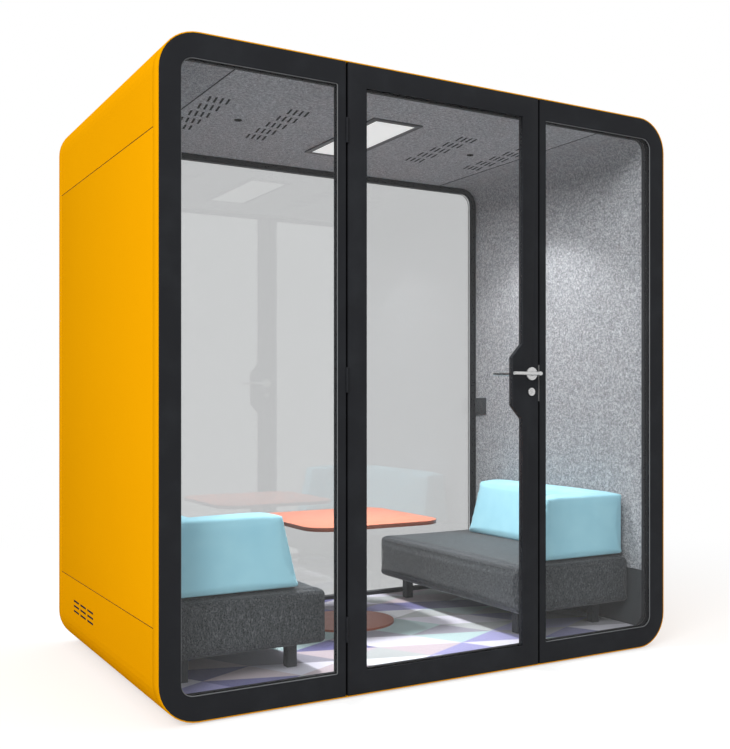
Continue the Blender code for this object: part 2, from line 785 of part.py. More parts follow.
def make_leaf():
    low = FOOT_HEIGHT + FRAME_INSET
    high = HEIGHT - FRAME_INSET
    outside = rounded((-HALF_LEAF, low), (HALF_LEAF, high), [0] * 4)
    leaf = plate("door_frame", [outside, leaf_opening()], FRONT, FRONT + LEAF_THICKNESS, "black_frame")
    rebate = plate("door_rebate", [grown_opening(REBATE)], FRONT + LIP, FRONT + LEAF_THICKNESS + LIP)
    start = FRONT + LIP + TOUCH
    glass = plate("door_glass", [grown_opening(REBATE - TOUCH)], start, start + GLASS, "clear_glass")
    cut(leaf, rebate)
    through = FRONT + LEAF_THICKNESS + LIP
    for label, radius, height in (
        ("neck_bore", NECK_RADIUS + NECK_CLEARANCE, LEVER_HEIGHT),
        ("cylinder_bore", CYLINDER_RADIUS + NECK_CLEARANCE, KEY_HEIGHT),
    ):
        cut(leaf, cylinder(label, radius, FRONT - LIP, through, "Y", (LOCK_X, height)))
    middle = FRONT + LEAF_MIDDLE
    latch_end = HALF_LEAF + LATCH_THROW - LATCH_LENGTH - LATCH_TRAVEL - BOLT_CLEARANCE
    bolt_end = HALF_LEAF - BOLT_LENGTH - TOUCH
    for label, deepest, height, size in (
        ("latch_channel", latch_end, LEVER_HEIGHT, LATCH_SIZE),
        ("bolt_channel", bolt_end, KEY_HEIGHT, BOLT_SIZE),
    ):
        cut(leaf, bolt_box(label, deepest, HALF_LEAF + LIP, middle, height, size, BOLT_CLEARANCE))
    return [leaf, glass]


def bolt_box(name, start, end, middle, height, size, grow=0.0, finish=None):
    low = (start, middle - size[0] / 2 - grow, height - size[1] / 2 - grow)
    high = (end, middle + size[0] / 2 + grow, height + size[1] / 2 + grow)
    return box(name, low, high, finish)


def make_bolts():
    """The latch stands out into its strike. The dead bolt is flush with the leaf's edge until it is thrown."""
    middle = FRONT + LEAF_MIDDLE
    end = HALF_LEAF + LATCH_THROW
    start = end - LATCH_LENGTH
    latch = bolt_box("latch_bolt", start, end, middle, LEVER_HEIGHT, LATCH_SIZE, finish="satin_steel")
    start = HALF_LEAF - BOLT_LENGTH
    bolt = bolt_box("dead_bolt", start, HALF_LEAF, middle, KEY_HEIGHT, BOLT_SIZE, finish="satin_steel")
    return latch, bolt


def make_strike(right_frame):
    """The strike plate on the right frame's edge, with pockets behind it for the latch and the dead bolt."""
    face = POST_EDGE - TOUCH
    middle = FRONT + LEAF_MIDDLE
    low = (face - STRIKE_PLATE, middle - STRIKE_DEPTH / 2, KEY_HEIGHT - BOLT_HEIGHT / 2 - STRIKE_MARGIN)
    high = (face, middle + STRIKE_DEPTH / 2, LEVER_HEIGHT + LATCH_HEIGHT / 2 + STRIKE_MARGIN)
    strike = box("strike_plate", low, high, "satin_steel")
    for label, height, size in (("latch", LEVER_HEIGHT, LATCH_SIZE), ("bolt", KEY_HEIGHT, BOLT_SIZE)):
        start = HALF_LEAF + LEAF_GAP / 2
        end = POST_EDGE + STRIKE_POCKET
        window = bolt_box(label + "_window", start, end, middle, height, size, STRIKE_CLEARANCE)
        cut(strike, window)
        cut(right_frame, window)


def make_roses():
    made = []
    hole = NECK_RADIUS + NECK_CLEARANCE
    for word, near, far in (
        ("outer_rose", FRONT - TOUCH - ROSE_THICKNESS, FRONT - TOUCH),
        ("inner_rose", FRONT + LEAF_THICKNESS + TOUCH, FRONT + LEAF_THICKNESS + TOUCH + ROSE_THICKNESS),
    ):
        rose = cylinder(word, ROSE_RADIUS, near, far, "Y", (LOCK_X, LEVER_HEIGHT), "satin_steel")
        bore = cylinder(word + "_bore", hole, near - LIP, far + LIP, "Y", (LOCK_X, LEVER_HEIGHT))
        made.append(cut(rose, bore))
    near = FRONT - TOUCH - KEY_ROSE_THICKNESS
    rose = cylinder("key_rose", KEY_ROSE_RADIUS, near, FRONT - TOUCH, "Y", (LOCK_X, KEY_HEIGHT), "satin_steel")
    bore = cylinder(
        "key_rose_bore", CYLINDER_RADIUS + NECK_CLEARANCE, near - LIP, FRONT + LIP, "Y", (LOCK_X, KEY_HEIGHT)
    )
    made.append(cut(rose, bore))
    return made


def lever_shape(name, outward, root, reach):
    """A straight round bar on a round neck, which runs from root, inside the leaf, to the bar's far side."""
    tip = outward * LEVER_BAR_RADIUS
    start, end = sorted((root, reach))
    neck = cylinder(name, NECK_RADIUS, start, end, "Y", (LOCK_X, LEVER_HEIGHT), "satin_steel")
    left = LOCK_X + NECK_RADIUS - LEVER_LENGTH
    bar = cylinder(
        name + "_bar",
        LEVER_BAR_RADIUS,
        left,
        LOCK_X + NECK_RADIUS + LEVER_BAR_RADIUS / 2,
        "X",
        (reach - tip, LEVER_HEIGHT),
    )
    return join(neck, bar)


def make_levers():
    """Two levers on one spindle: the outer one carries the spindle, and the inner one is bored for it."""
    middle = FRONT + LEAF_MIDDLE
    outer = lever_shape("outer_lever", -1, middle - TOUCH, FRONT - LEVER_REACH)
    spindle_end = middle + SPINDLE_LENGTH
    spindle = cylinder(
        "spindle", SPINDLE_RADIUS, middle - LIP, spindle_end, "Y", (LOCK_X, LEVER_HEIGHT), sides=16
    )
    join(outer, spindle)
    inner = lever_shape("inner_lever", 1, middle + TOUCH, FRONT + LEAF_THICKNESS + LEVER_REACH)
    socket = cylinder(
        "spindle_socket",
        SPINDLE_RADIUS + NECK_CLEARANCE,
        middle - LIP,
        spindle_end + TOUCH,
        "Y",
        (LOCK_X, LEVER_HEIGHT),
        sides=16,
    )
    cut(inner, socket)
    return outer, inner


def make_cylinder():
    """The key plug, with a keyway outside and a turn knob inside."""
    start = FRONT - TOUCH - KEY_ROSE_THICKNESS
    end = FRONT + LEAF_THICKNESS + LIP
    plug = cylinder("lock_cylinder", CYLINDER_RADIUS, start, end, "Y", (LOCK_X, KEY_HEIGHT), "satin_steel")
    half = CYLINDER_RADIUS / 2
    knob = box(
        "turn_knob",
        (LOCK_X - half, end - LIP / 2, KEY_HEIGHT - TURN_LENGTH / 2),
        (LOCK_X + half, end + TURN_REACH, KEY_HEIGHT + TURN_LENGTH / 2),
    )
    keyway = box(
        "keyway",
        (LOCK_X - KEYWAY_WIDTH / 2, start - LIP, KEY_HEIGHT - KEYWAY_HEIGHT / 2),
        (LOCK_X + KEYWAY_WIDTH / 2, start + LIP, KEY_HEIGHT + KEYWAY_HEIGHT / 2),
    )
    return cut(join(plug, knob), keyway)


def hinge_half(name, height, side, knuckles, finish):
    """One leaf of a hinge: a plate on the edge of the post or of the door, webs, and its knuckles."""
    axis_y = FRONT - HINGE_AXIS_FORWARD
    tall = 3 * KNUCKLE_LENGTH + 2 * KNUCKLE_GAP
    outer = side * (LEAF_GAP / 2 - TOUCH)
    inner = outer - side * HINGE_PLATE
    low_x, high_x = sorted((HINGE_X + outer, HINGE_X + inner))
    near = axis_y + KNUCKLE_RADIUS + TOUCH
    plate_low = (low_x, near, height - tall / 2)
    made = box(name, plate_low, (high_x, near + HINGE_PLATE_DEPTH, height + tall / 2), finish)
    for number, (low, high) in enumerate(knuckles):
        start = height - tall / 2 + low
        end = height - tall / 2 + high
        web = box(f"{name}_web_{number}", (low_x, axis_y, start), (high_x, near + TOUCH * 4, end))
        label = f"{name}_knuckle_{number}"
        knuckle = cylinder(label, KNUCKLE_RADIUS, start, end, "Z", (HINGE_X, axis_y), sides=20)
        join(made, web, knuckle)
    return made


def make_hinges():
    """Each hinge's post half has the two outer knuckles and the pin, and its door half the middle one."""
    step = KNUCKLE_LENGTH + KNUCKLE_GAP
    tall = 3 * KNUCKLE_LENGTH + 2 * KNUCKLE_GAP
    axis = (HINGE_X, FRONT - HINGE_AXIS_FORWARD)
    moving = []
    for word, height in zip(("lower", "middle", "upper"), HINGE_HEIGHTS):
        outer = [(0, KNUCKLE_LENGTH), (2 * step, tall)]
        fixed = hinge_half(f"{word}_hinge_post_leaf", height, -1, outer, "black_frame")
        low = height - tall / 2 + KNUCKLE_LENGTH / 2
        pin = cylinder(
            f"{word}_hinge_pin", HINGE_PIN_RADIUS, low, low + 2 * step, "Z", axis, sides=16
        )
        join(fixed, pin)
        door = hinge_half(f"{word}_hinge_door_leaf", height, 1, [(step, step + KNUCKLE_LENGTH)], "black_frame")
        hole = HINGE_PIN_RADIUS + HINGE_PIN_CLEARANCE
        bore = cylinder(f"{word}_hinge_bore", hole, low, low + 2 * step, "Z", axis, sides=16)
        moving.append(cut(door, bore))
    return moving


def make_door(right_frame):
    pieces = make_leaf() + make_roses() + make_hinges()
    hinge = axis_empty("door_axis", (HINGE_X, FRONT - HINGE_AXIS_FORWARD, HEIGHT / 2), *pieces)
    outer, inner = make_levers()
    plug = make_cylinder()
    latch, bolt = make_bolts()
    make_strike(right_frame)
    middle = FRONT + LEAF_MIDDLE
    for name, place_at, members in (
        ("lever_axis", (LOCK_X, middle, LEVER_HEIGHT), (outer, inner)),
        ("key_axis", (LOCK_X, middle, KEY_HEIGHT), (plug,)),
        ("latch_axis", (HALF_LEAF, middle, LEVER_HEIGHT), (latch,)),
        ("bolt_axis", (HALF_LEAF, middle, KEY_HEIGHT), (bolt,)),
    ):
        carried = axis_empty(name, place_at, *members)
        carried.parent = hinge
        carried.matrix_parent_inverse = hinge.matrix_world.inverted()


# Lining


def make_side_lining(side, word):
    """Felt from the skirting up the wall and round the cove to the ceiling panel, and the skirting below."""
    centre_x = CABIN_HALF - COVE_RADIUS
    centre_z = CEILING - COVE_RADIUS
    seam = CEILING_SEAM + LINING_GAP / 2
    low = SKIRTING_TOP + LINING_GAP / 2
    inside = [(CABIN_HALF, low)] + arc(centre_x, centre_z, COVE_RADIUS, 0, 90) + [(seam, CEILING)]
    outer_radius = COVE_RADIUS + LINING
    outside = [(CABIN_HALF + LINING, low)] + arc(centre_x, centre_z, outer_radius, 0, 90)
    outside.append((seam, CEILING + LINING))
    loop = [(side * x, z) for x, z in inside + outside[::-1]]
    start, end = FRONT + LINING_FRONT, FRONT + LINING_REAR
    plate(f"{word}_wall_felt", [loop], start, end, "grey_felt")
    low_x, high_x = sorted((side * CABIN_HALF, side * (CABIN_HALF + LINING)))
    top = SKIRTING_TOP - LINING_GAP / 2
    box(f"{word}_skirting", (low_x, start, FLOOR_TOP + TOUCH), (high_x, end, top), "dark_laminate")


def light_box(inset):
    """Half sizes of the light's rectangle, moved in by the inset."""
    return LIGHT_WIDTH / 2 - inset, LIGHT_LENGTH / 2 - inset


def make_ceiling():
    """The flat felt panel, with its four groups of slots and the hole for the light."""
    half = CEILING_SEAM - LINING_GAP / 2
    start, end = FRONT + LINING_FRONT, FRONT + LINING_REAR
    loops = [rounded((-half, start), (half, end), [0] * 4)]
    for x in (-VENT_OUTER, -VENT_INNER, VENT_INNER, VENT_OUTER):
        loops += slot_rows(
            x,
            FRONT + VENT_MIDDLE,
            (VENT_COLUMNS, VENT_ROWS),
            (VENT_COLUMN_PITCH, VENT_ROW_PITCH),
            (VENT_SLOT, VENT_LENGTH),
            VENT_SLANT,
        )
    across, along = light_box(LIGHT_BODY_INSET - TOUCH)
    middle = FRONT + LIGHT_MIDDLE
    loops.append(rounded((-across, middle - along), (across, middle + along), [0] * 4))
    plate("ceiling_panel", loops, CEILING, CEILING + LINING, "grey_felt", "XY")


def light_solid(name, inset, low, high, finish=None):
    across, along = light_box(inset)
    middle = FRONT + LIGHT_MIDDLE
    return box(name, (-across, middle - along, low), (across, middle + along, high), finish)


def make_light():
    """A tray let into the ceiling: a flange, a shelf that carries the diffuser, and the lamp space above."""
    flange_top = CEILING - TOUCH
    flange_low = flange_top - LIGHT_FLANGE
    shelf = flange_low + LIGHT_WALL
    top = CEILING + LIGHT_HEIGHT
    tray = light_solid("light_tray", 0, flange_low, flange_top, "dark_laminate")
    body = light_solid("light_body", LIGHT_BODY_INSET, flange_low + LIGHT_WALL / 2, top)
    window = light_solid("light_window", LIGHT_BORDER, flange_low - LIP, shelf + LIP)
    space = light_solid("lamp_space", LIGHT_BORDER - LIGHT_SHELF, shelf, top - LIGHT_WALL)
    cut(join(tray, body), window, space)
    inset = LIGHT_BORDER - LIGHT_SHELF + TOUCH
    light_solid("light_diffuser", inset, shelf + TOUCH, shelf + TOUCH + DIFFUSER, "white_diffuser")


def make_wrap():
    """Mineral wool behind the felt, up the walls and over the ceiling, cut away round light and fans."""
    radius = CORNER_RADIUS - SKIN - TOUCH
    outer = [(HALF_WIDTH - SKIN - TOUCH, WRAP_BOTTOM)]
    outer += arc(HALF_WIDTH - CORNER_RADIUS, HEIGHT - CORNER_RADIUS, radius, 0, 90)
    inner_radius = COVE_RADIUS + LINING + TOUCH
    inner = [(CABIN_HALF + LINING + TOUCH, WRAP_BOTTOM)]
    inner += arc(CABIN_HALF - COVE_RADIUS, CEILING - COVE_RADIUS, inner_radius, 0, 90)
    outer += [(-x, z) for x, z in reversed(outer)]
    inner += [(-x, z) for x, z in reversed(inner)]
    start, end = FRONT + LINING_FRONT, FRONT + LINING_REAR
    wrap = plate("acoustic_wrap", [outer + inner[::-1]], start, end, "mineral_wool")
    low, high = CEILING - LIP, HEIGHT + LIP
    cut(wrap, light_solid("light_well", LIGHT_BODY_INSET - WRAP_CLEARANCE, low, high))
    half = FAN_SIZE / 2 + TOUCH
    for side in (-1, 1):
        x, y = side * VENT_INNER, FRONT + VENT_MIDDLE
        cut(wrap, box("fan_well", (x - half, y - half, low), (x + half, y + half, high)))


# Fans


def make_fan(side, word):
    """A square fan that lies on the ceiling panel over the inner vents: a housing with arms, and an impeller."""
    x, y = side * VENT_INNER, FRONT + VENT_MIDDLE
    low = CEILING + LINING + TOUCH
    high = low + FAN_HEIGHT
    half = FAN_SIZE / 2
    corners = (x - half, y - half, low), (x + half, y + half, high)
    housing = box(f"{word}_fan_housing", *corners, "black_plastic")
    bore = cylinder(f"{word}_fan_bore", FAN_BORE_RADIUS, low - LIP, high + LIP, "Z", (x, y))
    cut(housing, bore)
    reach = FAN_BORE_RADIUS + FAN_ARM / 2
    thin = FAN_ARM / 2
    arm_top = low + FAN_ARM_HEIGHT
    post_top = high - FAN_ARM_HEIGHT
    lift = TOUCH * 2
    arms = [
        box(f"{word}_arm_x", (x - reach, y - thin, low + lift), (x + reach, y + thin, arm_top)),
        box(f"{word}_arm_y", (x - thin, y - reach, low + lift), (x + thin, y + reach, arm_top)),
        cylinder(f"{word}_boss", FAN_HUB_RADIUS, low + lift, arm_top + lift, "Z", (x, y)),
        cylinder(f"{word}_post_pin", FAN_POST_RADIUS, low + lift * 2, post_top, "Z", (x, y), sides=16),
    ]
    join(housing, *arms)
    hub_low = arm_top + lift + TOUCH
    hub_high = high - TOUCH * 2
    hub = cylinder(f"{word}_fan_impeller", FAN_HUB_RADIUS, hub_low, hub_high, "Z", (x, y), "black_plastic")
    middle = (hub_low + hub_high) / 2
    for number in range(FAN_BLADES):
        join(hub, fan_blade(f"{word}_blade_{number}", (x, y, middle), 2 * math.pi * number / FAN_BLADES))
    socket = FAN_POST_RADIUS + FAN_POST_CLEARANCE
    cut(hub, cylinder(f"{word}_post_hole", socket, hub_low - LIP, post_top + TOUCH, "Z", (x, y), sides=16))
    axis_empty(f"{word}_fan_axis", (x, y, middle), hub)


def fan_blade(name, centre, angle):
    """A flat blade, pitched about its own length, from inside the hub to short of the bore."""
    start = FAN_HUB_RADIUS - FAN_BLADE
    end = math.sqrt((FAN_BORE_RADIUS - FAN_TIP_CLEARANCE) ** 2 - (FAN_BLADE_HEIGHT / 2) ** 2)
    low = (start, -FAN_BLADE / 2, -FAN_BLADE_HEIGHT / 2)
    high = (end, FAN_BLADE / 2, FAN_BLADE_HEIGHT / 2)
    blade = box(name, low, high)
    turn = Matrix.Rotation(angle, 4, "Z") @ Matrix.Rotation(FAN_BLADE_PITCH, 4, "X")
    blade.data.transform(Matrix.Translation(centre) @ turn)
    return blade


# Control plate


def make_controls():
    """A plate on the right wall with two push buttons, for the light and the fans."""
    face = CABIN_HALF - TOUCH - PLATE_THICKNESS
    half = PLATE_SIZE / 2
    y = FRONT + PLATE_MIDDLE
    wall = CABIN_HALF - TOUCH
    low = (face, y - half, PLATE_HEIGHT - half)
    backing = box("control_plate", low, (wall, y + half, PLATE_HEIGHT + half), "black_plastic")
    for word, side in (("light_button", -1), ("fan_button", 1)):
        middle = y + side * BUTTON_SPACING / 2
        pocket_back = face + BUTTON_THICKNESS - BUTTON_PROUD + BUTTON_TRAVEL + BUTTON_CLEARANCE
        grow = BUTTON_CLEARANCE
        cut(backing, button_box(word + "_pocket", middle, face - LIP, pocket_back, grow))
        start = face - BUTTON_PROUD
        button = button_box(word, middle, start, start + BUTTON_THICKNESS, 0.0, "black_plastic")
        axis_empty(word + "_axis", (start, middle, PLATE_HEIGHT), button)


def button_box(name, middle, start, end, grow, finish=None):
    low = (start, middle - BUTTON_WIDTH / 2 - grow, PLATE_HEIGHT - BUTTON_HEIGHT / 2 - grow)
    high = (end, middle + BUTTON_WIDTH / 2 + grow, PLATE_HEIGHT + BUTTON_HEIGHT / 2 + grow)
    return box(name, low, high, finish)


# Seats and table


def make_seat(side, word):
    """A bench along the side wall: an upholstered block on a leg frame, with an L-shaped back on it."""
    low_x, high_x = sorted((side * SEAT_FRONT, side * SEAT_WALL))
    near, far = FRONT + SEAT_NEAR, FRONT + SEAT_FAR
    low = (low_x, near, SEAT_BOTTOM)
    high = (high_x, far, SEAT_TOP)

    def build(shape):
        size = [b - a for a, b in zip(low, high)]
        middle = [(a + b) / 2 for a, b in zip(low, high)]
        matrix = Matrix.Translation(middle) @ Matrix.Diagonal((*size, 1.0))
        bmesh.ops.create_cube(shape, size=1.0, matrix=matrix)
        bmesh.ops.subdivide_edges(shape, edges=shape.edges, cuts=CUSHION_CUTS, use_grid_fill=True)
        for vert in shape.verts:
            crown_seat(vert, low, high, side)

    name = f"{word}_seat"
    ease(place(name, mesh_from(build, name), "grey_fabric"), SEAT_EDGE, 3)
    make_back(side, word)
    make_legs(side, word)


def crown_seat(vert, low, high, side):
    """Rolls the top down to its front and ends, flat where the back sits, and draws the sides in."""
    u, v, w = [2 * (c - a) / (b - a) - 1 for c, a, b in zip(vert.co, low, high)]
    roll_front = max(-side * u, 0.0) ** 2
    roll_end = max((abs(v) - SEAT_FLAT) / (1 - SEAT_FLAT), 0.0) ** 2
    if w > 0.99:
        vert.co.z -= SEAT_CROWN * (1 - (1 - roll_front) * (1 - roll_end))
    if abs(u) > 0.99:
        vert.co.x -= math.copysign(SEAT_DRAW, u) * (1 - v * v) * (1 - w * w)
    if abs(v) > 0.99:
        vert.co.y -= math.copysign(SEAT_DRAW, v) * (1 - u * u) * (1 - w * w)


def back_plan(lean, taper_end, taper_arm):
    """The eight points of the L in plan, with the front faces moved back by the amounts given."""
    near, far = FRONT + BACK_NEAR, FRONT + BACK_FAR - taper_end
    arm = ARM_FRONT + lean * ARM_LEAN / BACK_LEAN
    front = BACK_FRONT + lean
    corner = near + ARM_THICKNESS - taper_arm
    return [
        (arm, near),
        (front, near),
        (BACK_WALL, near),
        (BACK_WALL, corner),
        (BACK_WALL, far),
        (front, far),
        (front, corner),
        (arm, corner),
    ]


def edge_distance(point, outline):
    """How far a point in plan lies inside the L, from the nearest of its sides."""
    best = HEIGHT
    for a, b in zip(outline, outline[1:] + outline[:1]):
        start, run = Vector(a), Vector(b) - Vector(a)
        part = min(max((point - start).dot(run) / run.length_squared, 0.0), 1.0)
        best = min(best, (point - start - part * run).length)
    return best


def make_back(side, word):
    """The back runs along the wall and turns into an arm at the near end. Its faces lean in upwards."""
    base = back_plan(0, 0, 0)
    top = back_plan(BACK_LEAN, BACK_TAPER, ARM_TAPER)
    low, high = SEAT_TOP + TOUCH, BACK_TOP - BACK_CROWN
    half = ARM_THICKNESS / 2

    def build(shape):
        floor = [shape.verts.new((x, y, low)) for x, y in base]
        roof = [shape.verts.new((x, y, high)) for x, y in top]
        for corners in ((0, 1, 6, 7), (1, 2, 3, 6), (6, 3, 4, 5)):
            shape.faces.new([floor[i] for i in corners])
            shape.faces.new([roof[i] for i in corners])
        for i in range(len(base)):
            j = (i + 1) % len(base)
            shape.faces.new((floor[i], floor[j], roof[j], roof[i]))
        bmesh.ops.subdivide_edges(shape, edges=shape.edges, cuts=CUSHION_CUTS - 1, use_grid_fill=True)
        for vert in shape.verts:
            if vert.co.z > high - TOUCH:
                inside = min(edge_distance(vert.co.xy, top) / half, 1.0)
                vert.co.z += BACK_CROWN * inside * (2 - inside)
            vert.co.x *= side
        bmesh.ops.recalc_face_normals(shape, faces=shape.faces)

    name = f"{word}_seat_back"
    ease(place(name, mesh_from(build, name), "blue_fabric"), BACK_EDGE, 3)


def make_legs(side, word):
    """Four square legs welded to a thin rectangular frame under the seat."""
    near, far = FRONT + SEAT_NEAR + LEG_INSET_END, FRONT + SEAT_FAR - LEG_INSET_END
    inner, outer = SEAT_FRONT + LEG_INSET_FRONT, SEAT_WALL - LEG_INSET_BACK
    half = LEG_SIZE / 2
    top = SEAT_BOTTOM - TOUCH
    low_x, high_x = sorted((side * (inner - half), side * (outer + half)))
    ring = rounded((low_x, near - half), (high_x, far + half), [0] * 4)
    hole = rounded((low_x + LEG_SIZE, near + half), (high_x - LEG_SIZE, far - half), [0] * 4)
    frame = plate(f"{word}_seat_legs", [ring, hole], top - LEG_RAIL, top, "dark_laminate", "XY")
    trim = LEG_RAIL / 4
    for number, (x, y) in enumerate(((inner, near), (outer, near), (inner, far), (outer, far))):
        low = (side * x - half + trim, y - half + trim, FLOOR + TOUCH)
        high = (side * x + half - trim, y + half - trim, top - trim)
        join(frame, box(f"{word}_leg_{number}", low, high))


def make_table():
    """A laminate top with round corners, on a turned steel pedestal with a disc foot."""
    half = TABLE_WIDTH / 2
    y = FRONT + TABLE_MIDDLE
    loop = rounded((-half, y - TABLE_LENGTH / 2), (half, y + TABLE_LENGTH / 2), [TABLE_CORNER] * 4)
    under = TABLE_TOP - TABLE_THICKNESS
    ease(plate("table_top", [loop], under, TABLE_TOP, "orange_laminate", "XY"), 0.002)
    top = under - TOUCH
    spider = top - TABLE_SPIDER_THICKNESS
    foot = FLOOR + TOUCH
    disc = foot + TABLE_BASE_THICKNESS
    profile = [
        (0, top),
        (TABLE_SPIDER_RADIUS, top),
        (TABLE_SPIDER_RADIUS, spider),
        (TABLE_COLUMN_RADIUS, spider),
        (TABLE_COLUMN_RADIUS, disc),
        (TABLE_BASE_RADIUS, disc),
        (TABLE_BASE_RADIUS, foot),
        (0, foot),
    ]
    smooth(turned("table_pedestal", profile, (0, y), "orange_laminate", 48))


def make_booth():
    make_hoops()
    make_skins()
    make_feet()
    make_floor()
    make_portal()
    left_frame = make_fixed_front(-1, "left")
    right_frame = make_fixed_front(1, "right")
    make_rear()
    make_door(right_frame)
    for frame in (left_frame, right_frame):
        close_slim_joins(frame)
    make_ceiling()
    make_light()
    make_wrap()
    make_controls()
    make_table()
    for side, word in ((-1, "left"), (1, "right")):
        make_side_lining(side, word)
        make_fan(side, word)
        make_seat(side, word)


make_booth()
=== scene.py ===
# %% [markdown]
# This lesson dresses a glazed meeting booth. The solids of its shell, frames, panes, lining, seats and
# table come from a fixed frame, already at their real size. Blender adds what a photograph shows and a
# solid doesn't: paint, felt, carpet, glass, upholstery, softened edges and light.

import json
import math

import bmesh
import bpy
from mathutils import Matrix, Vector
from mathutils.bvhtree import BVHTree

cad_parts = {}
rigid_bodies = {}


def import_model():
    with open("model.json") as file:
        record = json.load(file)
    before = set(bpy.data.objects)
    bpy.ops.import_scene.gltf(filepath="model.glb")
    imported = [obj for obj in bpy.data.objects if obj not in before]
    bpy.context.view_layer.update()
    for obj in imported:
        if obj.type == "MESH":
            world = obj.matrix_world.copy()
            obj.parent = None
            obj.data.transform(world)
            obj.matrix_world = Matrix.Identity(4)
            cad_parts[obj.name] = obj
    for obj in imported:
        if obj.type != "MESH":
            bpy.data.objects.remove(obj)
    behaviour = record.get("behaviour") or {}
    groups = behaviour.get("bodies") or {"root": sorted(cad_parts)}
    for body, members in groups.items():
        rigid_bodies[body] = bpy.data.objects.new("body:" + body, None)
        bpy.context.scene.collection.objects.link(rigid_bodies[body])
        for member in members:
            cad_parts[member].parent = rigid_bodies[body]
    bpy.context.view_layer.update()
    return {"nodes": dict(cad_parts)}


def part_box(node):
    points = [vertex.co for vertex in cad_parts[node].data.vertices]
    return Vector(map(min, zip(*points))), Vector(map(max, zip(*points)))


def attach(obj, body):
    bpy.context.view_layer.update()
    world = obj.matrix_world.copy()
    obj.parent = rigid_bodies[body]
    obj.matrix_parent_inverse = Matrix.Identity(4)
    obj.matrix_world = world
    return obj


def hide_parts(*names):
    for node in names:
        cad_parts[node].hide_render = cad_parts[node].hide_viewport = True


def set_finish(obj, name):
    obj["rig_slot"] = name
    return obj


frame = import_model()
NODES = frame["nodes"]

# %% [markdown]
# A photograph that shows upright lines as truly upright was taken with a level camera, and its crop is a
# lens shift. So the camera here stays level, and shift_x and shift_y move the frame, which keeps the
# booth's corners parallel. Tilting the camera instead would make them lean together.

# %% Camera
PHOTO_WIDTH = 730
PHOTO_HEIGHT = 749
SENSOR_WIDTH = 36.0
FOCAL_PIXELS = 1031.066
LEVEL_POINT = (430.0, 400.75)
CAMERA_PLACE = (-2.1353, -4.0096, 1.0747)
CAMERA_TURN = math.radians(-31.7534)


def added(name, data):
    """A new object, put in the scene."""
    made = bpy.data.objects.new(name, data)
    bpy.context.scene.collection.objects.link(made)
    return made


def make_camera():
    data = bpy.data.cameras.new("camera")
    data.sensor_width = SENSOR_WIDTH
    data.lens = FOCAL_PIXELS / PHOTO_HEIGHT * SENSOR_WIDTH
    data.shift_x = (PHOTO_WIDTH / 2 - LEVEL_POINT[0]) / PHOTO_HEIGHT
    data.shift_y = (LEVEL_POINT[1] - PHOTO_HEIGHT / 2) / PHOTO_HEIGHT
    camera = added("camera", data)
    camera.location = CAMERA_PLACE
    camera.rotation_euler = (math.pi / 2, 0, CAMERA_TURN)
    bpy.context.scene.camera = camera
    print("lens:", round(data.lens, 2), "shift:", round(data.shift_x, 4), round(data.shift_y, 4))


make_camera()

# %% [markdown]
# A finish is a small sum: a colour here, times a mask there, plus some grain. Blender draws that sum as
# a chain of Math nodes, which soon becomes hard to read. Instead, the class below wraps one node output
# and gives it Python's own operators, so a line such as 1 - mask adds the node and hands back its output.

# %% Shader expressions
class Wire:
    """One output of a node. Arithmetic on it adds a Math node, and gives that node's output."""

    def __init__(self, paint, socket):
        self.paint = paint
        self.socket = socket

    def maths(self, operation, *others, clamp=False):
        values = dict(enumerate((self, *others)))
        settings = {"operation": operation, "use_clamp": clamp}
        return self.paint.node("ShaderNodeMath", settings, values)[0]

    def __add__(self, other):
        return self.maths("ADD", other)

    __radd__ = __add__

    def __mul__(self, other):
        return self.maths("MULTIPLY", other)

    __rmul__ = __mul__

    def __sub__(self, other):
        return self.maths("SUBTRACT", other)

    def __rsub__(self, other):
        return (self * -1) + other

    def __gt__(self, other):
        return self.maths("GREATER_THAN", other)

    def floor(self):
        return self.maths("FLOOR")

    def fraction(self):
        return self.maths("FRACT")

    def clipped(self):
        return self.maths("ADD", 0, clamp=True)

    def larger(self, other):
        return self.maths("MAXIMUM", other)

    def step(self, low, high):
        """0 below low, 1 above high, and smooth in between."""
        settings = {"interpolation_type": "SMOOTHSTEP"}
        return self.paint.node("ShaderNodeMapRange", settings, {0: self, 1: low, 2: high})[0]


class Made:
    """A node just made. Indexing it gives one of its outputs as a Wire."""

    def __init__(self, paint, node):
        self.paint = paint
        self.node = node

    def __getitem__(self, key):
        return Wire(self.paint, self.node.outputs[key])


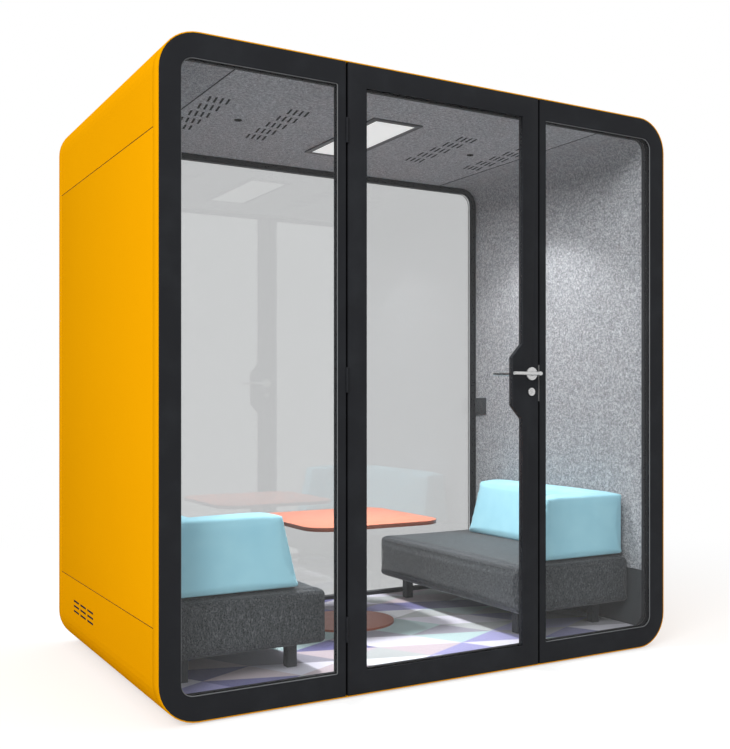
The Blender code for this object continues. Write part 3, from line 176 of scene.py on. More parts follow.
class Paint:
    """A material, or the world, and the nodes in it."""

    def __init__(self, name, world=None):
        self.material = world or bpy.data.materials.new(name)
        self.material.use_nodes = True
        self.tree = self.material.node_tree
        self.tree.nodes.clear()

    def feed(self, socket, value):
        if isinstance(value, Wire):
            self.tree.links.new(value.socket, socket)
        elif socket.type == "RGBA":
            socket.default_value = (*value, 1.0)[:4]
        else:
            socket.default_value = value

    def node(self, kind, settings=None, sockets=None):
        made = self.tree.nodes.new(kind)
        for name, value in (settings or {}).items():
            if name == "stops":
                self.set_stops(made.color_ramp, value)
            elif name == "steps":
                made.color_ramp.interpolation = value
            else:
                setattr(made, name, value)
        for name, value in (sockets or {}).items():
            self.feed(made.inputs[name], value)
        return Made(self, made)

    def set_stops(self, ramp, stops):
        while len(ramp.elements) < len(stops):
            ramp.elements.new(1.0)
        for element, (position, colour) in zip(ramp.elements, stops):
            element.position = position
            element.color = (*colour, 1.0)

    def place(self):
        """Where a point is on the object, in metres."""
        return self.node("ShaderNodeTexCoord")["Object"]

    def xyz(self, vector=None):
        parts = self.node("ShaderNodeSeparateXYZ", {}, {0: vector or self.place()})
        return parts[0], parts[1], parts[2]

    def stretched(self, scales):
        values = {0: self.place(), 1: scales}
        return self.node("ShaderNodeVectorMath", {"operation": "MULTIPLY"}, values)[0]

    def noise(self, scale, detail=3.0, roughness=0.55, vector=None):
        place = vector or self.place()
        sockets = {"Vector": place, "Scale": scale, "Detail": detail, "Roughness": roughness}
        return self.node("ShaderNodeTexNoise", {}, sockets)[0]

    def ramp(self, factor, stops, steps="LINEAR"):
        return self.node("ShaderNodeValToRGB", {"steps": steps, "stops": stops}, {0: factor})[0]

    def blend(self, factor, first, second, kind="MIX"):
        settings = {"data_type": "RGBA", "blend_type": kind, "clamp_factor": True}
        return self.node("ShaderNodeMix", settings, {0: factor, 6: first, 7: second})[2]

    def bump(self, height, strength, distance):
        sockets = {"Height": height, "Strength": strength, "Distance": distance}
        return self.node("ShaderNodeBump", {}, sockets)[0]

    def surface(self, colour, roughness, normal=None, **others):
        sockets = {"Base Color": colour, "Roughness": roughness}
        if normal is not None:
            sockets["Normal"] = normal
        sockets.update({name.replace("_", " "): value for name, value in others.items()})
        shader = self.node("ShaderNodeBsdfPrincipled", {}, sockets)[0]
        return self.output(shader)

    def output(self, shader):
        self.node("ShaderNodeOutputMaterial", {}, {"Surface": shader})
        print(self.material.name, "shader nodes:", len(self.tree.nodes))
        return self.material


def from_screen(red, green, blue):
    """A colour as an image editor names it, 0 to 255, turned into the linear values that shaders use."""
    shares = [c / 255 for c in (red, green, blue)]
    return tuple(c / 12.92 if c <= 0.04045 else ((c + 0.055) / 1.055) ** 2.4 for c in shares)


print("linear yellow:", from_screen(238, 165, 4))

# %% [markdown]
# The shell is steel sheet with a smooth yellow powder coat. Powder flows out when it is baked and leaves
# a faint unevenness, called orange peel, which shows only in the highlights. A soft noise in the bump
# gives that, and a second, wide noise shifts the tone by a few percent so that the big sides don't look
# like flat paper. The darker tone low down is painted shade; the little more roughness there stands for
# handling and dust.

# %% Yellow paint
YELLOW = from_screen(238, 165, 4)
YELLOW_DEEP = from_screen(230, 156, 2)


def yellow_paint():
    paint = Paint("yellow_powder_coat")
    wide = paint.noise(1.6, 2.0)
    peel = paint.noise(420.0, 2.0)
    height = paint.xyz()[2]
    # Painted shade: the tone darkens towards the bottom; the roughness also rises there, for handling and
    # dust.
    low_shade_and_dust = (1 - height.step(0.0, 0.5)) * 0.5
    colour = paint.blend((wide * 0.5 + low_shade_and_dust).clipped(), YELLOW, YELLOW_DEEP)
    roughness = paint.noise(35.0, 4.0) * 0.10 + 0.30 + low_shade_and_dust * 0.10
    return paint.surface(colour, roughness, paint.bump(peel, 0.05, 0.0006), Specular_IOR_Level=0.0)


# %% [markdown]
# The frames are extruded aluminium with a fine-textured black powder coat. Its grain is far too small to
# model, so it is bump. The coat must stay nearly black beside a white room, so its mirror share is low,
# and its roughness varies a little, as hands polish it.

# %% Black frame paint
BLACK = from_screen(34, 35, 38)
BLACK_WORN = from_screen(42, 44, 47)


def black_paint():
    paint = Paint("black_powder_coat")
    grain = paint.noise(1400.0, 2.0)
    cloud = paint.noise(7.0, 4.0)
    colour = paint.blend(cloud.step(0.40, 0.75) * 0.7, BLACK, BLACK_WORN)
    roughness = cloud * 0.14 + 0.48
    return paint.surface(colour, roughness, paint.bump(grain, 0.10, 0.0004), Specular_IOR_Level=0.08)


# %% [markdown]
# The lining is pressed polyester felt. Seen close it is a mottle of pale and dark fibres, with clumps a
# centimetre or two across and single fibres well under a millimetre. Three noises of unlike size give
# that: clumps, flecks and fibres. One noise alone looks like cloud, and never like felt.

# %% Felt
FELT_DARK = from_screen(82, 84, 88)
FELT_MIDDLE = from_screen(145, 147, 151)
FELT_PALE = from_screen(222, 224, 228)


def dimmed(colour, share):
    return tuple(c * share for c in colour)


def felt(name, share):
    paint = Paint(name)
    clumps = paint.noise(90.0, 4.0, 0.7)
    flecks = paint.noise(290.0, 3.0, 0.8)
    fibres = paint.noise(900.0, 2.0, 0.6)
    mottle = clumps * 0.30 + flecks * 0.60 + fibres * 0.10
    stops = [(0.38, FELT_DARK), (0.50, FELT_MIDDLE), (0.62, FELT_PALE)]
    colour = paint.ramp(mottle, [(at, dimmed(shade, share)) for at, shade in stops])
    normal = paint.bump(flecks * 0.5 + fibres * 0.5, 0.35, 0.0015)
    return paint.surface(colour, 0.95, normal, Specular_IOR_Level=0.1, Sheen_Weight=0.15)


# %% [markdown]
# The floor is a patchwork of cut-pile carpet in muted violet, lavender, mint, rose grey and white. The
# layout is made here by rule: a square grid is turned, each square is split along its diagonal, and a
# white-noise value for each half picks one of the colours. Fine noise is the pile.

# %% Patchwork carpet
PATCH = 0.250
PATCH_TURN = math.radians(27)
WHITE = (1.0, 1.0, 1.0)
PILE_SHADE = (0.84, 0.84, 0.84)
CARPET_COLOURS = [
    from_screen(214, 212, 226),
    from_screen(108, 106, 156),
    from_screen(176, 200, 202),
    from_screen(196, 182, 190),
    from_screen(236, 238, 244),
    from_screen(150, 148, 162),
    from_screen(150, 148, 196),
    from_screen(182, 186, 188),
]


def carpet():
    paint = Paint("patchwork_carpet")
    x, y = paint.xyz()[:2]
    across = (x * math.cos(PATCH_TURN) + y * math.sin(PATCH_TURN)) * (1 / PATCH)
    along = (y * math.cos(PATCH_TURN) - x * math.sin(PATCH_TURN)) * (1 / PATCH)
    half = (across.fraction() + along.fraction()) > 1
    key = paint.node("ShaderNodeCombineXYZ", {}, {0: across.floor(), 1: along.floor(), 2: half})[0]
    chance = paint.node("ShaderNodeTexWhiteNoise", {"noise_dimensions": "3D"}, {"Vector": key})[0]
    share = 1 / len(CARPET_COLOURS)
    colours = [(i * share, colour) for i, colour in enumerate(CARPET_COLOURS)]
    patches = paint.ramp(chance, colours, "CONSTANT")
    pile = paint.noise(620.0, 3.0, 0.7)
    tufts = paint.noise(150.0, 4.0, 0.7)
    shade = paint.ramp(pile * 0.6 + tufts * 0.4, [(0.3, PILE_SHADE), (0.7, WHITE)])
    colour = paint.blend(1.0, patches, shade, "MULTIPLY")
    normal = paint.bump(pile * 0.7 + tufts * 0.3, 0.6, 0.004)
    return paint.surface(colour, 0.98, normal, Specular_IOR_Level=0.05, Sheen_Weight=0.25)


# %% [markdown]
# The benches wear a woollen cloth of dark and mid grey yarn. The yarns run one way, so the cloth shows
# short streaks. A noise that is stretched along one direction gives streaks. The sides streak upwards and
# the top streaks across, so the stretch direction is picked by which way the surface faces.

# %% Grey upholstery cloth
YARN_DARK = from_screen(35, 38, 41)
YARN_MIDDLE = from_screen(56, 59, 62)
YARN_PALE = from_screen(112, 114, 117)
STREAKS_UP = (260.0, 260.0, 80.0)
STREAKS_ACROSS = (80.0, 260.0, 260.0)


def grey_cloth():
    paint = Paint("grey_wool_cloth")
    facing = paint.xyz(paint.node("ShaderNodeNewGeometry")["Normal"])[2]
    on_top = facing.maths("ABSOLUTE").step(0.55, 0.85)
    upright = paint.noise(1.0, 3.0, 0.7, paint.stretched(STREAKS_UP))
    level = paint.noise(1.0, 3.0, 0.7, paint.stretched(STREAKS_ACROSS))
    streaks = upright * (1 - on_top) + level * on_top
    flecks = paint.noise(190.0, 3.0, 0.75)
    weave = streaks * 0.5 + flecks * 0.5
    colour = paint.ramp(weave, [(0.36, YARN_DARK), (0.50, YARN_MIDDLE), (0.66, YARN_PALE)])
    normal = paint.bump(streaks * 0.6 + flecks * 0.4, 0.5, 0.0015)
    sheen = {"Sheen_Weight": 0.3, "Sheen_Roughness": 0.4}
    return paint.surface(colour, 0.92, normal, Specular_IOR_Level=0.15, **sheen)


# %% [markdown]
# The backs are covered in a fine pale-blue cloth. Two crossed sine waves, one along each direction of
# the yarn, make a plain weave with a yarn every millimetre, and a wide noise lets the dye vary a little.

# %% Blue upholstery cloth
BLUE = from_screen(167, 218, 232)
BLUE_DEEP = from_screen(150, 204, 222)
YARN_PAIR = 0.0022
YARN_TURNS = 2 * math.pi / YARN_PAIR


def blue_cloth():
    paint = Paint("blue_fine_cloth")
    x, y, z = paint.xyz()
    threads = ((x + y) * YARN_TURNS).maths("SINE") * (z * YARN_TURNS).maths("SINE") * 0.5 + 0.5
    wide = paint.noise(9.0, 3.0)
    fine = paint.noise(700.0, 2.0)
    colour = paint.blend((wide * 0.6 + threads * 0.2 + fine * 0.2).step(0.25, 0.8), BLUE, BLUE_DEEP)
    normal = paint.bump(threads * 0.6 + fine * 0.4, 0.25, 0.0006)
    sheen = {"Sheen_Weight": 0.35, "Sheen_Roughness": 0.35}
    return paint.surface(colour, 0.85, normal, Specular_IOR_Level=0.2, **sheen)


# %% [markdown]
# The table is a coral laminate on board. Laminate has long faint streaks, a slight gloss, and a browner
# edge band. The edge is told from the top by the surface's own direction, which stays with the object,
# so that the colour is the same from every view.

# %% Table laminate and paint
CORAL = from_screen(190, 116, 92)
CORAL_STREAK = from_screen(174, 102, 80)
EDGE_BROWN = from_screen(128, 70, 52)
# Painted shade: the pedestal's coral is the top's coral made darker, as in the shadow under the table.
SHADED_BASE_CORAL = from_screen(176, 104, 82)


def laminate():
    paint = Paint("coral_laminate")
    facing = paint.xyz(paint.node("ShaderNodeNewGeometry")["Normal"])[2]
    streaks = paint.noise(1.0, 4.0, 0.6, paint.stretched((9.0, 160.0, 9.0)))
    top = paint.blend(streaks.step(0.35, 0.7), CORAL, CORAL_STREAK)
    colour = paint.blend(facing.step(0.3, 0.6), EDGE_BROWN, top)
    roughness = streaks * 0.12 + 0.28
    return paint.surface(colour, roughness, paint.bump(streaks, 0.04, 0.0005), Specular_IOR_Level=0.35)


def coral_paint():
    paint = Paint("coral_powder_coat")
    grain = paint.noise(900.0, 2.0)
    cloud = paint.noise(12.0, 3.0)
    # Painted shade: the darker base coral, clouded towards the edge brown.
    colour = paint.blend(cloud * 0.6, SHADED_BASE_CORAL, EDGE_BROWN)
    normal = paint.bump(grain, 0.08, 0.0004)
    return paint.surface(colour, cloud * 0.1 + 0.38, normal, Specular_IOR_Level=0.3)


# %% [markdown]
# Clear panes are the hardest finish here. True refracting glass would block the lamps, and the cabin
# would be dark. A thin pane bends almost nothing, so a mix of a tinted see-through shader and a sharp
# reflection looks the same and lets all light in. The Fresnel node would turn the far face of the pane
# into a full mirror at a slant, as it does inside thick glass, so the share of the reflection comes from a
# simpler rule: a small share straight on, which rises with the fifth power of the slant. The rear pane's
# grey tint is painted shade: it dims the white room seen through it.

# %% Glass
FRONT_TINT = (0.985, 0.990, 0.990)
# Painted shade: the rear pane lets through only three quarters of the light, to darken the room behind.
REAR_SHADE_TINT = (0.760, 0.762, 0.765)
FRONT_MIRROR = 0.014
REAR_MIRROR = 0.065
SLANT_POWER = 5.0


def glass(name, tint, mirror):
    paint = Paint(name)
    slant = paint.node("ShaderNodeLayerWeight", {}, {"Blend": 0.5})["Facing"]
    share = slant.maths("POWER", SLANT_POWER) * (1 - mirror) + mirror
    clear = paint.node("ShaderNodeBsdfTransparent", {}, {"Color": tint})[0]
    shine = paint.node("ShaderNodeBsdfGlossy", {}, {"Color": WHITE, "Roughness": 0.0})[0]
    return paint.output(paint.node("ShaderNodeMixShader", {}, {0: share, 1: clear, 2: shine})[0])


# %% [markdown]
# The small metal parts are satin stainless steel, brushed along their length. Brushing is a noise that is
# stretched along the bar and drives the roughness. The fine scratches also scatter some light evenly, so
# a quarter of the finish is matt: a lever that faces a black frame still looks grey. The plastics,
# rubber, wrap and board only need the right darkness and grain, because they are seen at a glance or
# through a slot; the wrap's near-black is painted shade for the gaps and slots.

# %% Metal, plastic and hidden stuffs
STEEL = (0.62, 0.62, 0.62)
STEEL_SHARE = 0.75
SKIRT = from_screen(64, 67, 70)
PLATE = from_screen(56, 59, 62)
TRIM = from_screen(78, 79, 82)
OPAL = (0.60, 0.60, 0.59)
OPAL_LIGHT = (1.0, 1.0, 0.99)
OPAL_STRENGTH = 0.50
PRISM_TURNS = 900.0


def satin_steel():
    paint = Paint("satin_steel")
    brush = paint.noise(1.0, 4.0, 0.6, paint.stretched((60.0, 900.0, 900.0)))
    colour = paint.blend(brush, dimmed(STEEL, 0.85), STEEL)
    return paint.surface(colour, brush * 0.16 + 0.20, paint.bump(brush, 0.06, 0.0003), Metallic=STEEL_SHARE)


def grained(name, colour, roughness, scale, depth, mirror=0.3):
    """A plain moulded or sheet surface with a fine grain."""
    paint = Paint(name)
    grain = paint.noise(scale, 4.0, 0.65)
    cloud = paint.noise(11.0, 3.0)
    tone = paint.blend((grain * 0.5 + cloud * 0.5).step(0.3, 0.7), dimmed(colour, 0.86), colour)
    rough = cloud * 0.1 + roughness
    return paint.surface(tone, rough, paint.bump(grain, 0.2, depth), Specular_IOR_Level=mirror)


def lit_diffuser():
    paint = Paint("opal_diffuser")
    x, y = paint.xyz()[:2]
    prisms = ((x * PRISM_TURNS).maths("SINE") * (y * PRISM_TURNS).maths("SINE")) * 0.5 + 0.5
    normal = paint.bump(prisms, 0.15, 0.0006)
    glow = {"Emission_Color": OPAL_LIGHT, "Emission_Strength": OPAL_STRENGTH}
    return paint.surface(OPAL, prisms * 0.1 + 0.4, normal, **glow)


# %% [markdown]
# Each solid of the frame now gets its finish. One table lists the finishes and the nodes that wear them,
# which is easier to check than sixty assignments spread over the file.

# %% Dress the solids
FRAME_BLACK = black_paint()
RUBBER = grained("black_rubber", from_screen(22, 22, 23), 0.75, 500.0, 0.0004, 0.1)
STEEL_FINISH = satin_steel()
PLASTIC = grained("dark_plastic", PLATE, 0.5, 1100.0, 0.0003)
DARK_METAL = grained("dark_powder_coat", from_screen(62, 64, 67), 0.5, 1200.0, 0.0003, 0.2)
SHELL = ["front_hoop", "rear_hoop", "base_shell", "roof_shell", "left_side_panel", "right_side_panel"]
FRAMES = ["front_portal", "left_front_frame", "right_front_frame", "rear_frame", "door_frame"]
HINGES = [f"{word}_hinge_{half}_leaf" for word in ("lower", "middle", "upper") for half in ("post", "door")]
FRONT_PANES = ["left_front_glass", "right_front_glass", "door_glass"]
HANDLES = ["outer_rose", "inner_rose", "key_rose", "outer_lever", "inner_lever"]
LOCK = ["lock_cylinder", "latch_bolt", "dead_bolt", "strike_plate"]
FEET = [f"levelling_foot_{number}" for number in (1, 2, 3, 4)]
CONTROLS = ["control_plate", "light_button", "fan_button"]
FANS = [f"{word}_fan_{part}" for word in ("left", "right") for part in ("housing", "impeller")]
FINISHES = [
    (yellow_paint(), SHELL),
    (FRAME_BLACK, FRAMES + HINGES),
    (glass("clear_glass", FRONT_TINT, FRONT_MIRROR), FRONT_PANES),
    (glass("shade_tinted_glass", REAR_SHADE_TINT, REAR_MIRROR), ["rear_glass"]),
    (felt("wall_felt", 1.0), ["left_wall_felt", "right_wall_felt"]),
    # Painted light: the ceiling wears a copy of the wall felt made 15% lighter.
    (felt("ceiling_felt", 1.15), ["ceiling_panel"]),
    (carpet(), ["carpet"]),
    (grained("skirting_laminate", SKIRT, 0.45, 700.0, 0.0003), ["left_skirting", "right_skirting"]),
    # Painted shade: the wrap is near-black so that the shell's gaps and slots look dark.
    (grained("shade_black_wrap", from_screen(14, 14, 15), 0.95, 260.0, 0.002, 0.02), ["acoustic_wrap"]),
    (grained("raw_board", from_screen(170, 140, 104), 0.8, 160.0, 0.0006, 0.1), ["floor_core"]),
    (grained("light_trim", TRIM, 0.45, 1200.0, 0.0003), ["light_tray"]),
    (lit_diffuser(), ["light_diffuser"]),
    (STEEL_FINISH, HANDLES + LOCK + FEET),
    (RUBBER, ["door_seal"]),
    (DARK_METAL, ["left_seat_legs", "right_seat_legs"]),
    (laminate(), ["table_top"]),
    (coral_paint(), ["table_pedestal"]),
    (PLASTIC, CONTROLS + FANS),
]
GREY_CLOTH = grey_cloth()
BLUE_CLOTH = blue_cloth()


def wear(node, material):
    for slot in node.material_slots:
        slot.material = material


for material, names in FINISHES:
    for name in names:
        wear(NODES[name], material)
dressed = sum(len(names) for material, names in FINISHES)
print("finishes:", len(FINISHES), "plain nodes:", len(NODES) - dressed)

# %% [markdown]
# Nothing made has a perfectly sharp edge. A narrow bevel catches a thin line of light, and that line
# tells the eye how thick a sheet or a frame is. The solids arrive as triangles, so a Weld closes their
# seams, a planar Decimate turns the triangles back into whole faces, and only then does a Bevel look
# for edges. The modifiers leave the solid's own mesh as it is.

# %% Softened edges
SAME_POINT = 0.00001
FLAT_WITHIN = math.radians(0.5)
EDGE_FROM = math.radians(40)
BEVEL_STEPS = 2
SOFT_EDGES = [
    (0.0008, ["front_hoop", "rear_hoop", "left_side_panel", "right_side_panel", "carpet"]),
    (0.0012, ["rear_frame", "door_frame", "left_skirting", "right_skirting"]),
    (0.0015, ["table_top", "control_plate", "light_button", "fan_button", "light_tray"]),
    (0.0008, ["outer_rose", "inner_rose", "key_rose", "strike_plate", "left_wall_felt", "right_wall_felt"]),
    (0.0012, ["left_seat_legs", "right_seat_legs"]),
]


def soften(node, width):
    node.data.shade_smooth()
    weld = node.modifiers.new("weld", "WELD")
    weld.merge_threshold = SAME_POINT
    flat = node.modifiers.new("whole faces", "DECIMATE")
    flat.decimate_type = "DISSOLVE"
    flat.angle_limit = FLAT_WITHIN
    bevel = node.modifiers.new("soft edge", "BEVEL")
    bevel.width = width
    bevel.segments = BEVEL_STEPS
    bevel.limit_method = "ANGLE"
    bevel.angle_limit = EDGE_FROM
    bevel.harden_normals = True


for width, names in SOFT_EDGES:
    for name in names:
        soften(NODES[name], width)
    print("softened by", width, "m:", ", ".join(names))

# %% [markdown]
# The benches and their backs are foam under cloth. A box with round edges would look like painted wood,
# because cloth over foam swells between its corners. So each solid is copied, shrunk a little, remeshed
# into even squares and blown up slightly by a cloth simulation with pressure. A cap on the travel keeps
# the block's shape. The right-hand pieces are the left-hand ones mirrored, so two simulations are enough.

# %% Cushion helpers
VOXEL = 0.008
SHRINK = 0.002
PUFF_PRESSURE = 3.0
PUFF_FRAMES = 12
PUFF_CAP = 0.004


def applied(piece):
    """Turns what the modifiers make into the piece's own mesh."""
    graph = bpy.context.evaluated_depsgraph_get()
    mesh = bpy.data.meshes.new_from_object(piece.evaluated_get(graph))
    piece.modifiers.clear()
    piece.data = mesh


def shrunk(piece, by):
    """Moves every point in along its normal."""
    shape = bmesh.new()
    shape.from_mesh(piece.data)
    bmesh.ops.remove_doubles(shape, verts=shape.verts, dist=SAME_POINT)
    shape.normal_update()
    for vert in shape.verts:
        vert.co -= vert.normal * by
    shape.to_mesh(piece.data)
    shape.free()


def evened(piece, voxel):
    remesh = piece.modifiers.new("even squares", "REMESH")
    remesh.mode = "VOXEL"
    remesh.voxel_size = voxel
    applied(piece)


def puffed(piece, floor):
    """Blows the piece up by a short cloth simulation, with its underside pinned."""
    pins = piece.vertex_groups.new(name="pins")
    pins.add([v.index for v in piece.data.vertices if v.co.z < floor + 2 * SHRINK], 1.0, "REPLACE")
    before = [v.co.copy() for v in piece.data.vertices]
    cloth = piece.modifiers.new("puff", "CLOTH")
    cloth.settings.use_pressure = True
    cloth.settings.uniform_pressure_force = PUFF_PRESSURE
    cloth.settings.effector_weights.gravity = 0.0
    cloth.settings.vertex_group_mass = "pins"
    cloth.point_cache.frame_end = PUFF_FRAMES
    scene = bpy.context.scene
    for number in range(1, PUFF_FRAMES + 1):
        scene.frame_set(number)
    applied(piece)
    scene.frame_set(1)
    for vert, start in zip(piece.data.vertices, before):
        move = vert.co - start
        if move.length > PUFF_CAP:
            vert.co = start + move.normalized() * PUFF_CAP


def filled(piece, low, high):
    """Scales the piece along each axis until it just fills the space that the solid holds."""
    points = [v.co for v in piece.data.vertices]
    least = [min(p[i] for p in points) for i in range(3)]
    most = [max(p[i] for p in points) for i in range(3)]
    for vert in piece.data.vertices:
        shares = [(c - a) / (b - a) for c, a, b in zip(vert.co, least, most)]
        vert.co = [a + (b - a) * share for a, b, share in zip(low, high, shares)]


def cushion(node_name, name, material):
    low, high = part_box(node_name)
    piece = added(name, NODES[node_name].data.copy())
    shrunk(piece, SHRINK)
    evened(piece, VOXEL)
    puffed(piece, low.z)
    filled(piece, low, high)
    finish_cushion(piece, node_name, material)
    return piece


def finish_cushion(piece, node_name, material):
    piece.data.shade_smooth()
    piece.data.materials.clear()
    piece.data.materials.append(material)
    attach(piece, "booth")
    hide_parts(node_name)
    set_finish(piece, "grey_fabric" if material is GREY_CLOTH else "blue_fabric")


def mirrored(piece, name, node_name, material):
    twin = added(name, piece.data.copy())
    shape = bmesh.new()
    shape.from_mesh(twin.data)
    for vert in shape.verts:
        vert.co.x = -vert.co.x
    bmesh.ops.reverse_faces(shape, faces=shape.faces)
    shape.to_mesh(twin.data)
    shape.free()
    finish_cushion(twin, node_name, material)
    return twin


# %% [markdown]
# Four cushions are made here: two by simulation, and two as their mirror images. Each one replaces the
# plain solid that held its place.

# %% Benches and backs
left_bench = cushion("left_seat", "left_bench_cushion", GREY_CLOTH)
left_bolster = cushion("left_seat_back", "left_back_cushion", BLUE_CLOTH)
right_bench = mirrored(left_bench, "right_bench_cushion", "right_seat", GREY_CLOTH)
mirrored(left_bolster, "right_back_cushion", "right_seat_back", BLUE_CLOTH)
print("bench points:", len(left_bench.data.vertices), "bolster points:", len(left_bolster.data.vertices))

# %% [markdown]
# A cover is sewn from flat pieces, and each seam is a thin ridge that follows the block. The seam's path
# is a plain outline near the surface. A search for the nearest point on the cushion then lays every
# point of it on the cloth, however the simulation has moved it.

# %% Seams
SEAM_RADIUS = 0.0011
SEAM_STEP = 0.02
TOP_SEAM_DROP = 0.030
BOTTOM_SEAM_RISE = 0.026


def tube(name, points, radius, material, closed=False):
    """A thin round strip along the points: a curve with a width, turned into a mesh."""
    curve = bpy.data.curves.new(name, "CURVE")
    curve.dimensions = "3D"
    curve.bevel_depth = radius
    curve.bevel_resolution = 2
    curve.use_fill_caps = not closed
    spline = curve.splines.new("POLY")
    spline.points.add(len(points) - 1)
    for point, place in zip(spline.points, points):
        point.co = (*place, 1.0)
    spline.use_cyclic_u = closed
    line = added(name + "_line", curve)
    graph = bpy.context.evaluated_depsgraph_get()
    mesh = bpy.data.meshes.new_from_object(line.evaluated_get(graph))
    bpy.data.objects.remove(line)
    mesh.shade_smooth()
    mesh.materials.append(material)
    return added(name, mesh)


def walked(corners, step, closed):
    """Points every step or so along straight lines between the corners."""
    points = []
    ends = corners[1:] + (corners[:1] if closed else [])
    for a, b in zip(corners, ends):
        count = max(1, round((Vector(b) - Vector(a)).length / step))
        points += [Vector(a).lerp(Vector(b), i / count) for i in range(count)]
    return points if closed else points + [Vector(corners[-1])]


def seam(cushion_piece, name, corners, closed=True):
    graph = bpy.context.evaluated_depsgraph_get()
    tree = BVHTree.FromObject(cushion_piece, graph)
    points = [tree.find_nearest(p)[0] for p in walked(corners, SEAM_STEP, closed)]
    made = tube(name, points, SEAM_RADIUS, cushion_piece.data.materials[0], closed)
    made.parent = cushion_piece
    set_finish(made, cushion_piece["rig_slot"])


def bench_seams(piece, word):
    """One seam round the block under its top, one over its bottom, and one up each corner."""
    low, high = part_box(word + "_seat")
    corners = [(low.x, low.y), (high.x, low.y), (high.x, high.y), (low.x, high.y)]
    top = high.z - TOP_SEAM_DROP
    bottom = low.z + BOTTOM_SEAM_RISE
    for label, height in (("top", top), ("bottom", bottom)):
        seam(piece, f"{word}_bench_{label}_seam", [(x, y, height) for x, y in corners])
    for number, (x, y) in enumerate(corners, 1):
        seam(piece, f"{word}_bench_corner_seam_{number}", [(x, y, bottom), (x, y, top)], False)
    print(word, "bench seams:", len(piece.children))


for word, piece in (("left", left_bench), ("right", right_bench)):
    bench_seams(piece, word)

# %% [markdown]
# Panes sit in soft black gaskets on the cabin side, with a thin grey bead outside that catches the light.
# From a few steps away each is only a fine round line inside the frame, but without it the glass seems to
# be painted on. The openings' places come from the panes, less the margin that each frame hides.

# %% Glazing gaskets
BEAD = grained("glazing_bead", from_screen(120, 122, 124), 0.35, 900.0, 0.0002)
HIDDEN_MARGIN = 0.0097
GASKET_RADIUS = 0.0018
GASKET_INSET = HIDDEN_MARGIN + GASKET_RADIUS * 0.6
ARC_POINTS = 8
OUTER_CORNER = 0.045
STILE_CORNER = 0.006
REAR_CORNER = 0.060


def corner_arc(x, z, side_x, side_z, radius):
    """Points round one corner of an upright rectangle, for a corner that points to side_x and side_z."""
    start = {(-1, -1): 180, (1, -1): 270, (1, 1): 0, (-1, 1): 90}[side_x, side_z]
    angles = [math.radians(start + 90 * i / ARC_POINTS) for i in range(ARC_POINTS + 1)]
    centre = (x - side_x * radius, z - side_z * radius)
    return [(centre[0] + radius * math.cos(a), centre[1] + radius * math.sin(a)) for a in angles]


def gasket(pane_name, name, body, radii, depth, material, slot):
    """radii are those of the corners: low left, low right, high right, high left."""
    low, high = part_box(pane_name)
    left, right = low.x + GASKET_INSET, high.x - GASKET_INSET
    bottom, top = low.z + GASKET_INSET, high.z - GASKET_INSET
    spots = [(left, bottom, -1, -1), (right, bottom, 1, -1), (right, top, 1, 1), (left, top, -1, 1)]
    points = []
    for (x, z, side_x, side_z), radius in zip(spots, radii):
        points += corner_arc(x, z, side_x, side_z, radius)
    made = tube(name, [(x, depth, z) for x, z in points], GASKET_RADIUS, material, True)
    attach(made, body)
    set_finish(made, slot)
    print(name, "points:", len(points))


for pane, word, radii in (
    ("left_front_glass", "left_front", (OUTER_CORNER, STILE_CORNER, STILE_CORNER, OUTER_CORNER)),
    ("right_front_glass", "right_front", (STILE_CORNER, OUTER_CORNER, OUTER_CORNER, STILE_CORNER)),
    ("rear_glass", "rear", (REAR_CORNER,) * 4),
):
    low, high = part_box(pane)
    gasket(pane, word + "_inner_gasket", "booth", radii, high.y + GASKET_RADIUS, RUBBER, "black_rubber")
    gasket(pane, word + "_outer_gasket", "booth", radii, low.y - GASKET_RADIUS, BEAD, "black_plastic")

# %% [markdown]
# The shell's sheets meet over a narrow gap, and a black cord in it is painted shade. Seen from outside it
# is a thin dark line, which a bare gap between two yellow edges would not be: light bounces in such a gap
# and fills it with colour. The cord's route comes from the sheets' own places.

# %% Shell joint cords, painted shade
CORD_RADIUS = 0.0014
CORD_DEEP = 0.0022
SHELL_RADIUS = 0.140


def shell_ring(name, y):
    """A dark cord of painted shade right round the booth's rounded outline."""
    low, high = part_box("front_hoop")
    points = []
    for side_x, side_z in ((-1, -1), (1, -1), (1, 1), (-1, 1)):
        x = (high.x if side_x > 0 else low.x) - side_x * CORD_DEEP
        z = (high.z if side_z > 0 else low.z) - side_z * CORD_DEEP
        points += corner_arc(x, z, side_x, side_z, SHELL_RADIUS - CORD_DEEP)
    return tube(name, [(x, y, z) for x, z in points], CORD_RADIUS, RUBBER, True)


panel_low, panel_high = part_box("left_side_panel")
front_joint = (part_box("front_hoop")[1].y + panel_low.y) / 2
rear_joint = (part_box("rear_hoop")[0].y + panel_high.y) / 2
lower_joint = (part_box("base_shell")[1].z + panel_low.z) / 2
upper_joint = (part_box("roof_shell")[0].z + panel_high.z) / 2
# Painted shade: black cords in the shell's joints, where the gaps' shade falls.
shade_cords = [shell_ring("front_shell_cord", front_joint), shell_ring("rear_shell_cord", rear_joint)]
for word, side in (("left", -1), ("right", 1)):
    x = side * (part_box("front_hoop")[1].x - CORD_DEEP)
    for label, z in (("lower", lower_joint), ("upper", upper_joint)):
        line = [(x, front_joint, z), (x, rear_joint, z)]
        shade_cords.append(tube(f"{word}_{label}_cord", line, CORD_RADIUS, RUBBER))
for cord in shade_cords:
    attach(cord, "booth")
    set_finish(cord, "black_rubber")
print("cords:", len(shade_cords), "side joints at", round(lower_joint, 4), "and", round(upper_joint, 4), "m")

# %% [markdown]
# Two dark sensor caps are let into the ceiling between the vents. Each is a shallow turned dome with a
# rim, made by spinning a profile.

# %% Ceiling sensors
SENSOR_PLACES = (-0.575, 0.575)
SENSOR_DEPTH_PLACE = 0.0115
SENSOR_RADIUS = 0.016
SENSOR_DROP = 0.004
REST_GAP = 0.0003
SPIN_STEPS = 40
SHARP_FROM = math.radians(35)


